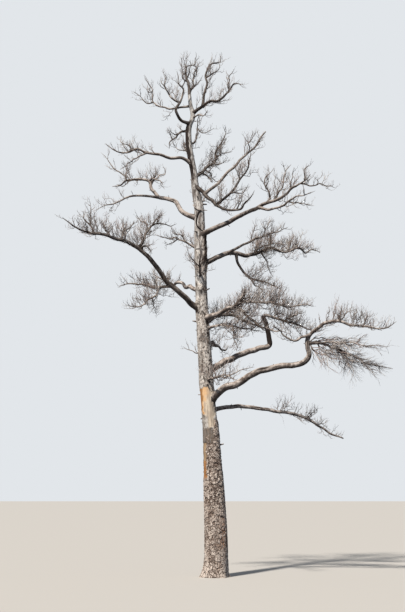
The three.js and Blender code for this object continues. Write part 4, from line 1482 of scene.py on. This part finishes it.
# %% [markdown]
# The window is where bark was torn off last: cream wood with a torn edge and an ochre rim on the left,
# and a warm glow across its top. Old grey wood shows at its lower left, and a weathered brown band lies
# just below.

# %% The window of fresh wood
WINDOW_LOW, WINDOW_HIGH = 3.16, 4.03
WINDOW_LEFT, WINDOW_RIGHT = math.radians(158), math.radians(318)
WINDOW_RADIUS, WINDOW_NARROWING = 0.155, 0.014
TORN = ((0.05, 18, 0.07, 39), (0.03, 40, 0.03, 40))

torn = ripples(angle, height, *TORN)
inside = np.minimum(height - WINDOW_LOW, WINDOW_HIGH - height) + torn
side_room = np.minimum(angle - WINDOW_LEFT, WINDOW_RIGHT - angle) * WINDOW_RADIUS + torn
narrowing = WINDOW_NARROWING * ease(height, 3.55, 3.95)
fresh = ease(np.minimum(inside, side_room - narrowing), -0.012, 0.026)
low_left = ease(3.45 - height + 0.10 * ripple(angle, height, 16, 0.08, 41), -0.05, 0.06)
low_left = low_left * ease(math.radians(258) - angle, -0.2, 0.2)
fresh = fresh * (1 - 0.85 * low_left)
bark = bark * (1 - fresh) * (1 - 0.6 * low_left)
below = ease(WINDOW_LOW - height + torn, 0.0, 0.03)
weathered = np.maximum(0.34 * low_left, 0.64 * below) * (1 - fresh)
weathered += 0.09 * ease(height, 7.3, 7.9)
ochre_edge = 222 + 24 * ease(height, 3.46, 3.84)
ochre = ease(np.radians(ochre_edge) - angle + 0.5 * ragged, -0.35, 0.45)
glow = 0.5 * ease(height + 0.15 * ragged, 3.70, 4.00) * ease(math.radians(330) - angle, 0.0, 1.6)
ochre = np.maximum(ochre, glow)
print("fresh wood covers", f"{fresh.mean():.1%}", "of the wood")

# %% [markdown]
# Each limb's foot swells the trunk round it and keeps a dark patch below: partly a scar of old bark,
# partly painted shade under the limb. Some dark marks have places of their own: a black ridge between
# the feet of two great limbs, painted black as painted shadow with some black bark, a black streak down
# the left of the high trunk, and a crease that arches over its front, drawn as a line of painted shade.

# %% Limb feet and old marks
SWELL_SHARE, SWELL_WIDE, SWELL_TALL = 0.30, 1.5, 1.9
SCAR_SHADE_BELOW, SCAR_SHADE_WIDE, SCAR_SHADE_TALL = 1.2, 0.9, 1.7
RIDGE_BEARING, STREAK_BEARING = 350, 222
RIDGE_BITE_HEIGHT, RIDGE_BITE = 6.90, 0.7


def limb_feet():
    """Where each limb leaves the trunk's surface: angle, height, its thickness and the trunk's."""
    for grown in limbs:
        if grown["on"] == "trunk":
            bearing, _, rises = grown["runs"][0]
            radius = trunk_straight(grown["at"])[1]
            rise = math.tan(math.radians(rises[0])) * radius
            yield math.radians(bearing) % (2 * math.pi), grown["at"] + rise, grown["butt"], radius


swell = np.zeros_like(angle)
scar = np.zeros_like(angle)
for at_angle, at_height, butt, radius in limb_feet():
    wide = SWELL_WIDE * butt / radius
    swell += SWELL_SHARE * butt * bump_at(angle, height, at_angle, at_height, wide, SWELL_TALL * butt)
    # Below each foot a dark patch: a scar of old bark, and painted shade under the limb.
    lower = at_height - SCAR_SHADE_BELOW * butt
    scar += bump_at(angle, height, at_angle, lower, wide * SCAR_SHADE_WIDE, SCAR_SHADE_TALL * butt)
scar = ease(scar + 0.35 * ragged, 0.45, 0.9) * (1 - fresh) * (1 - 0.6 * ease(height, 8.0, 8.3))
# The ridge is painted black: painted shadow beside the great limbs' feet, with some black bark. It also
# stands out in the relief.
ridge = ease(height, 6.60, 6.90) * ease(7.62 - height, 0.0, 0.12)
bite = RIDGE_BITE * np.exp(-(((height - RIDGE_BITE_HEIGHT) / 0.13) ** 2))
ridge *= ease(math.radians(38) + bite - off(angle, RIDGE_BEARING) + 0.5 * ragged, 0.0, 0.2)
streak = ease(height, 8.75, 9.0) * ease(10.35 - height, 0.0, 0.1)
streak *= ease(math.radians(50) - off(angle, STREAK_BEARING) + 0.45 * ragged, 0.0, 0.15)
# A crease that arches over the front, drawn only as a line of painted shade.
arch = 7.11 + 0.07 * facing(angle, 268) + 0.03 * ragged
crease_shade = ease(0.030 - np.abs(height - arch), 0.0, 0.02) * ease(facing(angle, 262), 0.3, 0.6)
print("limb feet", len(list(limb_feet())), "scarred", f"{(scar > 0.5).mean():.1%}", "of the wood")

# %% [markdown]
# Relief adds up what the cells above found: grain and checks where the wood is bare, plates where bark
# is left, swellings at limb feet. Dark scraps of bark lie mostly low down and on the right. The lowest
# rings dive into the shell, so that no gap shows between the two pieces.

# %% The upper trunk
GRAIN_DEPTH, CHECK_DEPTH, BARK_THICK = 0.0025, 0.005, 0.006
RIDGE_PROUD, STEP_OUT = 0.040, 0.010
THIN_PLATE, THIN_UNEVEN, THIN_LEAN = 0.006, 0.004, 0.003
FULL_RELIEF_RADIUS = 0.15
WOOD_DIVE, WOOD_DIVE_HEIGHT = 0.03, 0.10

relief = GRAIN_DEPTH * grain - CHECK_DEPTH * (1 - checks) * (1 - bark) - BARK_THICK * (1 - bark)
relief += STEP_OUT * ease(height, 3.3, 4.2) + RIDGE_PROUD * ridge
tilt = offset[..., 1] * (luck[..., 1] - 0.5)
relief += bark * (THIN_PLATE * plate + THIN_UNEVEN * (luck[..., 0] - 0.5) + THIN_LEAN * tilt)
relief += swell + 0.006 * ripple(angle, height, 5, 0.35, 42) - 0.004 * scar
radius = flow(height, TRUNK_STATIONS[:, 0], TRUNK_STATIONS[:, 2])
relief = relief * np.minimum(1, radius / FULL_RELIEF_RADIUS)
relief = relief - WOOD_DIVE * ease(WOOD_START + WOOD_DIVE_HEIGHT - height, 0, WOOD_DIVE_HEIGHT)
flecked = (0.7 + 0.3 * ease(8.4 - height, 0.0, 3.6)) * (0.75 + 0.25 * facing(angle, 330))
flecked = flecked * (1 - fresh) * (1 - 0.6 * below) * ease(10.9 - height, 0.0, 1.2)
values = {
    "groove": checks * (1 - bark) * (0.55 + 0.45 * ease(grain, -0.5, 0.2)) + bark * plate,
    "bark": bark,
    "fresh": fresh,
    "ochre": ochre * fresh,
    "scar": np.max([scar, streak, ridge, 0.8 * crease_shade, weathered], axis=0),
    "flecked": flecked,
    "brown": below * (1 - fresh),
}
heap = Heap()
foot, top_middle = trunk_straight(WOOD_START)[0], trunk_straight(TRUNK_TOP)[0]
add_skin(heap, trunk_points(angle, height, relief), foot, top_middle, values)
heap.make("weathered_upper_trunk", [upper_trunk_wood], ["trunk"], unrolled=True)

# %% [markdown]
# ## Boughs and stems
# A bough is a tube round its line, with lumps, grain and scraps of bark in its surface, and a collar
# that swells where it leaves what carries it. Each point notes how far it faces up, and the material
# paints the top pale and the underside dark: partly the bleaching of the top, partly painted light on
# the top and painted shade underneath. A curve with a bevel would be quicker to make, but smooth all
# over. Stems of the masses are made the same way with fewer sides. On the unrolled map each tube has a
# strip of its own.

# %% A tube with grain
COLLAR_SWELL, COLLAR_FADE, COLLAR_FROM = 0.38, 0.055, 0.9
FOOT_SHADE, FOOT_FADE = 0.5, 0.10
FEWEST_RINGS = 4
TUBE_TWIST = 0.6
LUMP_SIZE, KNOT_SIZE, GRAIN_SIZE = 0.045, 0.018, 0.03
SCRAP_THICK, SCRAP_SHARE = 0.0025, 0.1
POINT_RADIUS = 0.0006
STRIP_MARGIN = 0.06
SIDE_WIDTH = 0.013
BOUGH_SIDES, STEM_SIDES = (10, 28), (6, 14)
FIRST_SIDE = (0.31, 0.87, 0.12)


def sides_for(radius, limits):
    return int(np.clip(2 * np.pi * radius / SIDE_WIDTH, *limits))


def frames_along(curve):
    """Directions beside and across a line, turned as little as possible from ring to ring."""
    along = unit(np.gradient(curve, axis=0))
    side = np.cross(along[0], FIRST_SIDE)
    sides = np.empty_like(curve)
    for k, way in enumerate(along):
        side = unit(side - way * (side @ way))
        sides[k] = side
    return sides, np.cross(along, sides)


def add_tube(heap, line, sides, step, strip, strips, seed, bark_share=0.0, pointed=False, shade=0.0):
    """One limb as a tube of rings about a step apart, on its own strip of the unrolled map."""
    rings = max(FEWEST_RINGS, int(line.length / step))
    places = np.linspace(0, line.length, rings)
    curve = points_at(places, line.reached, line.curve)
    radius = np.interp(places, line.reached, line.radii)
    shades = np.full(rings, shade)
    # Near its foot a limb is painted darker: its darker bark collar, and painted shade in the crotch.
    if line.carrier_radius:
        out = np.maximum(0, places - line.carrier_radius * COLLAR_FROM)
        shades = shades + (1 - shades) * FOOT_SHADE * np.exp(-out / FOOT_FADE)
        radius = radius * (1 + COLLAR_SWELL * np.exp(-out / max(COLLAR_FADE, radius[0])))
    radius = radius[:, None]
    beside, across = frames_along(curve)
    angle, place = np.meshgrid(np.arange(sides) / sides * 2 * np.pi, places)
    twist = angle + TUBE_TWIST * place
    lumps = LUMP_SIZE * ripple(angle, place, 4, 0.28, seed)
    lumps += KNOT_SIZE * ripple(twist, place, 7, 0.07, seed + 1)
    grain = ripple(twist, place, max(6, sides // 2), 0.3, seed + 2)
    scraps = ripples(angle, place, (0.7, 5, 0.14, seed + 3), (0.4, 11, 0.05, seed + 4))
    scraps = ease(scraps + bark_share, 0.3, 0.5)
    out_way = np.cos(angle)[..., None] * beside[:, None] + np.sin(angle)[..., None] * across[:, None]
    reach = radius * (1 + lumps + GRAIN_SIZE * grain)
    reach += scraps * np.minimum(SCRAP_THICK, radius * SCRAP_SHARE)
    if pointed:
        reach[-1] = np.minimum(reach[-1], POINT_RADIUS)
    points = curve[:, None] + reach[..., None] * out_way
    values = {
        "groove": 0.5 + 0.5 * grain,
        # How far each point faces up, which the material turns into a painted pale top and painted shade
        # underneath.
        "upward": out_way[..., 2] * 0.5 + 0.5,
        "bark": scraps,
        "shade": np.repeat(shades, sides),
    }
    add_skin(heap, points, curve[0], curve[-1], values, strip, strips, STRIP_MARGIN)


print("a limb 16 cm thick has", sides_for(0.08, BOUGH_SIDES), "sides")

# %% [markdown]
# Some limbs are painted darker than others, a painted shade that stands in part for the shadow they
# lie in, and some keep more bark, so each can have a shade and a share of bark of its own. Short broken
# ends of shed twigs stand round every bough.

# %% The boughs
BARK_SHARES = {"hook_right": 0.15, "elbow_riser": -0.3, "dark_right": 0.4, "swan_left": -0.3}
# How much painted shade each limb gets.
SHADES = {
    "hook_riser": 1.0, "dark_right": 0.75, "long_diagonal": 0.3, "great_left": 0.55, "mid_right": 0.25,
    "right_climber": 0.5, "leader": 0.6, "crown_right": 0.6, "great_right": 0.3, "crown_left": 0.3,
    "mid_hanging": 0.5, "hanging_left": 0.6, "curl_right": 0.5,
}
BOUGH_STEP, SPUR_STEP, SPUR_SIDES = 0.012, 0.010, 6
SPUR_FIRST, SPUR_SPACING, SPUR_LUCK, SPUR_ROOM = 0.30, 0.24, 0.06, 0.1
SPUR_LEAN, SPUR_LENGTH, SPUR_THICK = (40, 80), (0.015, 0.07), (0.005, 0.009)
SEEDS_PER_TUBE, SPUR_SEED = 10, 1000
HIGH_FROM = 6.0
HIGH_SEED, LOW_SEED = 20000, 21000


def spurs_of(line, chance):
    """Short broken ends of shed twigs, round a bough by the golden angle."""
    spurs = []
    places = np.arange(SPUR_FIRST, line.length - SPUR_ROOM, SPUR_SPACING)
    for i, place in enumerate(places + chance.uniform(-SPUR_LUCK, SPUR_LUCK, len(places))):
        k = int(np.searchsorted(line.reached, place))
        along = unit(line.curve[k] - line.curve[k - 4])[None]
        turn, lean = np.radians([i * GOLDEN_ANGLE]), np.radians(chance.uniform(*SPUR_LEAN, 1))
        way = leaning(along, turn, lean)[0]
        length = line.radii[k] + chance.uniform(*SPUR_LENGTH)
        thick = chance.uniform(*SPUR_THICK)
        shares = np.linspace(0.3, 1, 6)[:, None]
        spurs.append(Line(line.curve[k] + way * length * shares, thick * np.linspace(1.4, 0.7, 6)))
    return spurs


def make_boughs(label, names, first_seed):
    heap = Heap()
    chance = np.random.default_rng(first_seed)
    spurs = [spur for name in names for spur in spurs_of(bough_lines[name], chance)]
    tubes = len(names) + len(spurs)
    for i, name in enumerate(names):
        line, seed = bough_lines[name], first_seed + SEEDS_PER_TUBE * i
        limb_name = name.removesuffix("_bough")
        bark_share, shade = BARK_SHARES.get(limb_name, 0.0), SHADES.get(limb_name, 0.0)
        sides = sides_for(line.radii[0], BOUGH_SIDES)
        add_tube(heap, line, sides, BOUGH_STEP, i, tubes, seed, bark_share, shade=shade)
    for i, spur in enumerate(spurs):
        seed = first_seed + SPUR_SEED + SEEDS_PER_TUBE * i
        add_tube(heap, spur, SPUR_SIDES, SPUR_STEP, len(names) + i, tubes, seed)
    heap.make(label, [bough_wood], names, unrolled=True)


high_names = [name for name, line in bough_lines.items() if line.curve[0, 2] > HIGH_FROM]
low_names = [name for name in bough_lines if name not in high_names]
make_boughs("boughs_high", high_names, HIGH_SEED)
make_boughs("boughs_low", low_names, LOW_SEED)

# %% [markdown]
# A dead pine sheds its lower limbs and keeps their stubs. Up to nine larger ones stand where the solid
# trunk has them, and many thin ones stand between. Both are left out where a limb is too near. Two thin
# dead shoots cling to the trunk's front, as dark lines across the pale wood.

# %% Broken stubs on the trunk
STUB_COUNT, STUB_FIRST, STUB_RISE, STUB_SEED = 9, 2.75, 0.69, 9001
STUB_LENGTH, STUB_RADIUS, STUB_TILT, STUB_ROOM = 0.095, 0.017, 18, 0.07
STUB_LUCK = (0.6, 1.3)
THIN_COUNT, THIN_FIRST, THIN_RISE, THIN_SEED = 46, 2.9, 7.6, 9100
THIN_LUCK, THIN_TURN, THIN_TILT, THIN_ROOM = 0.8, 60, (-25, 35), 0.02
THIN_LENGTH, THIN_RADIUS = (0.015, 0.085), (0.005, 0.012)
TUBE_SIDES, TUBE_STEP, TUBE_SEED = 8, 0.008, 25000


def near_limb(point, room):
    gap, _ = gaps_to_stretches(point[None])
    return (gap - STRETCHES[:, 6] < room).any()


def stub_line(height, way, length, radius):
    """A short straight limb from inside the trunk to its broken end."""
    middle, trunk_radius = trunk_straight(height)
    tip = middle + way * (trunk_radius + length)
    shares = np.linspace(0.6, 1, 7)[:, None]
    line = Line(middle + (tip - middle) * shares, radius * np.linspace(1.25, 0.75, 7))
    return line, tip


stub_lines = []
for i in range(STUB_COUNT):
    dice = Dice(STUB_SEED + i)
    way = heading(i * GOLDEN_ANGLE, dice.between(-STUB_TILT, STUB_TILT))
    length = STUB_LENGTH * dice.between(*STUB_LUCK)
    line, tip = stub_line(STUB_FIRST + i * STUB_RISE, way, length, STUB_RADIUS)
    if not near_limb(tip, STUB_ROOM):
        stub_lines.append(line)
chance = np.random.default_rng(THIN_SEED)
for i in range(THIN_COUNT):
    height = THIN_FIRST + THIN_RISE * (i + chance.uniform(0, THIN_LUCK)) / THIN_COUNT
    way = heading(i * GOLDEN_ANGLE + THIN_TURN, chance.uniform(*THIN_TILT))
    line, tip = stub_line(height, way, chance.uniform(*THIN_LENGTH), chance.uniform(*THIN_RADIUS))
    if not near_limb(tip, THIN_ROOM):
        stub_lines.append(line)
print("stubs", len(stub_lines))

# %% Dead shoots that cling to the trunk, and the piece of stubs
CROSSING_SHOOT = (
    (196, 8.24), (214, 8.19), (236, 8.13), (262, 8.09), (290, 8.085), (320, 8.10), (348, 8.12),
)
HANGING_SHOOT = (
    (284, 8.09), (264, 8.04), (247, 7.95), (238, 7.85), (238, 7.76), (251, 7.70), (275, 7.65), (312, 7.58),
)
CROSSING_THICK, CROSSING_PROUD, CROSSING_SHADE = 0.010, 0.020, 0.15
HANGING_THICK, HANGING_PROUD, HANGING_SHADE = 0.018, 0.012, 1.0


def clinging_shoot(places, thick, proud):
    """A thin dead shoot that lies against the trunk, through places given by bearing and height."""
    joints = []
    for bearing, height in places:
        middle, trunk_radius = trunk_straight(height)
        joints.append(middle + (trunk_radius + proud) * heading(bearing, 0))
    curve = smooth(np.array(joints), 6)
    return Line(curve, np.linspace(thick, thick * 0.7, len(curve)))


tubes = [(line, 0.0) for line in stub_lines]
tubes.append((clinging_shoot(CROSSING_SHOOT, CROSSING_THICK, CROSSING_PROUD), CROSSING_SHADE))
tubes.append((clinging_shoot(HANGING_SHOOT, HANGING_THICK, HANGING_PROUD), HANGING_SHADE))
heap = Heap()
for i, (line, shade) in enumerate(tubes):
    seed = TUBE_SEED + SEEDS_PER_TUBE * i
    add_tube(heap, line, TUBE_SIDES, TUBE_STEP, i, len(tubes), seed, shade=shade)
heap.make("broken_stubs", [bough_wood], ["trunk"], unrolled=True)

# %% [markdown]
# The stems of all masses are one piece. They run to points, and the leader's own stem starts a little
# below the trunk's top, so that the trunk seems to go on in it.

# %% The stems of the masses
STEM_STEP, STEM_SEED, STEM_BARK_SHARE = 0.022, 30000, 0.05
LEADER_DROPS, LEADER_RADIUS = (0.12, 0.06), 0.040

leader = stems[0]["line"]
below_top = np.array([trunk_straight(TRUNK_TOP - drop)[0] for drop in LEADER_DROPS])
leader_radii = np.concatenate([np.full(len(LEADER_DROPS), LEADER_RADIUS), leader.radii])
longer_leader = Line(np.vstack([below_top, leader.curve]), leader_radii)

heap = Heap()
for i, stem in enumerate(stems):
    line = longer_leader if i == 0 else stem["line"]
    sides, shade = sides_for(line.radii[0], STEM_SIDES), SHADES.get(stem["owner"], 0.0)
    seed = STEM_SEED + SEEDS_PER_TUBE * i
    add_tube(heap, line, sides, STEM_STEP, i, len(stems), seed, STEM_BARK_SHARE, pointed=True, shade=shade)
twig_nodes = [name + "_twigs" for name in mass_names]
heap.make("twig_stems", [bough_wood], twig_nodes, unrolled=True)

# %% [markdown]
# ## Twigs as one mesh
# Thousands of twigs as separate objects would be slow to draw and lost on export. They all have the same
# build, so one pattern of faces is repeated over one big array of points. Their colours are plain and
# dealt out by spray: a twig and all that it carries share a pair of tints.

# %% Twig tints
TWIG_TONES = {
    "twig_grey": tone(172, 160, 152),
    "twig_brown": tone(136, 118, 106),
    "twig_dark": tone(84, 71, 64),
    "twig_rose": tone(196, 172, 162),
    "twig_pale": tone(222, 211, 202),
}
GREY, BROWN, DARK, ROSE, PALE = range(len(TWIG_TONES))
MAIN_TINTS = np.array([GREY, BROWN, PALE, GREY, DARK])
FINE_TINTS = np.array([ROSE, GREY, PALE, ROSE, BROWN])
PALE_TINTS = np.array([PALE, ROSE, PALE, GREY, PALE])
DARK_TINTS = np.array([DARK, BROWN, DARK, GREY, DARK])
SPECIAL_TINTS = {"elbow_fan": (PALE_TINTS, PALE_TINTS), "right_climber": (DARK_TINTS, MAIN_TINTS)}
MOTTLE_DARKER = 0.6
TWIG_ROUGHNESS = 0.9


def paint_twig(name, colour):
    paint = Paint(name)
    mottle = paint.noise(paint.place(), 60, 3)
    darker = tuple(part * MOTTLE_DARKER for part in colour[:3]) + (1.0,)
    return paint.finish(paint.blend(darker, colour, mottle, 0.3, 0.6), TWIG_ROUGHNESS)


twig_paints = [paint_twig(name, colour) for name, colour in TWIG_TONES.items()]

# %% [markdown]
# At the photo's size a fine twig is thinner than a pixel, so three sides and a pointed end are enough.
# Masses that follow each other are joined until a piece is nearly full, which keeps the pieces few and
# easy to load.

# %% The twigs' meshes
MOST_TRIANGLES = 190000
TWIG_SIDES = 3
FIRST_TWIG_SIDE = (0.36, 0.48, 0.80)


def shoot_pattern(rings):
    """The faces of one shoot: its foot, its sides from ring to ring, and its tip."""
    pattern = [(0, 2, 1)]
    for ring in range(rings - 2):
        for i in range(TWIG_SIDES):
            a, b = ring * TWIG_SIDES + i, ring * TWIG_SIDES + (i + 1) % TWIG_SIDES
            pattern += [(a, b, b + TWIG_SIDES), (a, b + TWIG_SIDES, a + TWIG_SIDES)]
    last, tip = (rings - 2) * TWIG_SIDES, (rings - 1) * TWIG_SIDES
    pattern += [(last + i, last + (i + 1) % TWIG_SIDES, tip) for i in range(TWIG_SIDES)]
    return np.array(pattern)


def triangles_in(orders):
    return sum(len(batch["curves"]) * len(shoot_pattern(batch["curves"].shape[1])) for batch in orders)


def add_shoots(heap, batch, tints):
    """Every shoot as a three-sided tube that ends in a point, all from one pattern of faces."""
    curves, roots = batch["curves"], batch["roots"]
    count, rings = curves.shape[:2]
    along = unit(np.gradient(curves, axis=1))
    side = unit(np.cross(along, FIRST_TWIG_SIDE))
    across = np.cross(along, side)
    angle = np.arange(TWIG_SIDES) / TWIG_SIDES * 2 * np.pi
    share = np.linspace(0, 1, rings)[:-1]
    reach = roots[:, None] * (1 - share) ** LIMB_TAPER
    round_it = np.cos(angle)[:, None] * side[:, :-1, None] + np.sin(angle)[:, None] * across[:, :-1, None]
    ring_points = curves[:, :-1, None] + reach[..., None, None] * round_it
    points = np.concatenate([ring_points.reshape(count, -1, 3), curves[:, -1:]], 1)
    pattern = shoot_pattern(rings)
    faces = pattern[None] + (np.arange(count) * points.shape[1])[:, None, None]
    slot = np.repeat(tints[batch["spray"] % len(tints)], len(pattern))
    heap.add(points.reshape(-1, 3), faces.reshape(-1, 3), slot=slot)


shares = [[]]
filled = 0
for name, orders in zip(mass_names, mass_twigs):
    if filled + triangles_in(orders) > MOST_TRIANGLES:
        shares.append([])
        filled = 0
    filled += triangles_in(orders)
    shares[-1].append((name, orders))

for number, share in enumerate(shares, 1):
    heap = Heap()
    for name, orders in share:
        main_tints, fine_tints = SPECIAL_TINTS.get(name, (MAIN_TINTS, FINE_TINTS))
        for batch, tints in zip(orders, (main_tints, main_tints, fine_tints)):
            add_shoots(heap, batch, tints)
    twig_nodes = [name + "_twigs" for name, _ in share]
    heap.make(f"bare_twigs_{number}", twig_paints, twig_nodes)

# %% [markdown]
# ## Floor and light
# A plain pale floor and a plain pale backdrop keep the eye on the tree. One large lamp from the upper
# left gives the pale tops and dark undersides that dead wood has outdoors, and soft light from all
# round fills in. The backdrop is paler than that fill, because light as strong as the backdrop looks
# would wash out the undersides.

# %% The floor
FLOOR_HALF = 1500.0
FLOOR_TONE, FLOOR_ROUGHNESS = tone(206, 201, 194), 0.9

floor_mesh = bpy.data.meshes.new("floor")
floor_corners = [(x * FLOOR_HALF, y * FLOOR_HALF, 0) for x, y in ((-1, -1), (1, -1), (1, 1), (-1, 1))]
floor_mesh.from_pydata(floor_corners, [], [(0, 1, 2, 3)])
floor_mesh.materials.append(Paint("pale_floor").finish(FLOOR_TONE, FLOOR_ROUGHNESS))
floor = bpy.data.objects.new("floor", floor_mesh)
# The floor sends no light up, which would grey the dark undersides.
floor.visible_diffuse = False
bpy.context.scene.collection.objects.link(floor)

# %% The light
FILL_TONE, FILL_STRENGTH = tone(196, 208, 224), 0.34
BACKDROP_TONE = tone(226, 230, 234)
LAMP_STRENGTH, LAMP_SPREAD, LAMP_COLOUR = 4.3, 4, (1.0, 0.95, 0.88)
LAMP_WAY = (0.36, 0.58, -0.73)

world = bpy.data.worlds.new("soft_studio")
world.use_nodes = True
studio = Nodes(world.node_tree)
fill = world.node_tree.nodes["Background"]
studio.plug(fill, "Color", FILL_TONE)
studio.plug(fill, "Strength", FILL_STRENGTH)
backdrop = studio.node("Background", {}, {"Color": BACKDROP_TONE})
seen = studio.node("LightPath", {}, {})
shaders = {"Fac": seen, "Shader": Wire(studio, fill.outputs[0]), "Shader_001": backdrop}
shown = studio.node("MixShader", {}, shaders)
studio.plug(world.node_tree.nodes["World Output"], "Surface", shown)
bpy.context.scene.world = world
bpy.context.scene.view_settings.view_transform = "Standard"

lamp = bpy.data.lights.new("key", "SUN")
lamp.energy = LAMP_STRENGTH
lamp.angle = math.radians(LAMP_SPREAD)
lamp.color = LAMP_COLOUR
key = bpy.data.objects.new("key", lamp)
key.rotation_mode = "QUATERNION"
key.rotation_quaternion = Vector(LAMP_WAY).to_track_quat("-Z", "Y")
bpy.context.scene.collection.objects.link(key)
print("lamp", lamp.energy, "fill", FILL_STRENGTH)

# %% [markdown]
# ## The camera
# It stands where a viewer would, 21 m off with the eye 1.6 m up, and tilts up to take in the crown. Its
# lens is worked out from the picture's size and from how many pixels a metre spans at a metre's
# distance.

# %% Camera and lens
PICTURE_WIDE, PICTURE_HIGH = 405, 612
FOCAL_PIXELS = 942.0
SENSOR = 36.0
EYE = (-0.251, -20.8, 1.6)
TILT_UP = 11.651
FARTHEST_SEEN = 4000.0

lens = bpy.data.cameras.new("view")
lens.sensor_fit = "AUTO"
lens.sensor_width = SENSOR
lens.lens = FOCAL_PIXELS * SENSOR / max(PICTURE_WIDE, PICTURE_HIGH)
lens.clip_end = FARTHEST_SEEN
camera = bpy.data.objects.new("camera", lens)
camera.location = EYE
camera.rotation_euler = (math.radians(90 + TILT_UP), 0, 0)
bpy.context.scene.collection.objects.link(camera)
bpy.context.scene.camera = camera
print("lens", round(lens.lens, 2), "mm")

# %% [markdown]
# ## Closing
# The solids' own box is printed, the box that the twigs keep inside. The visual model has to
# stay inside the solids' own box.

# %% The solids' box
print("cad box", [round(v, 3) for v in (*cad_low, *cad_high)])
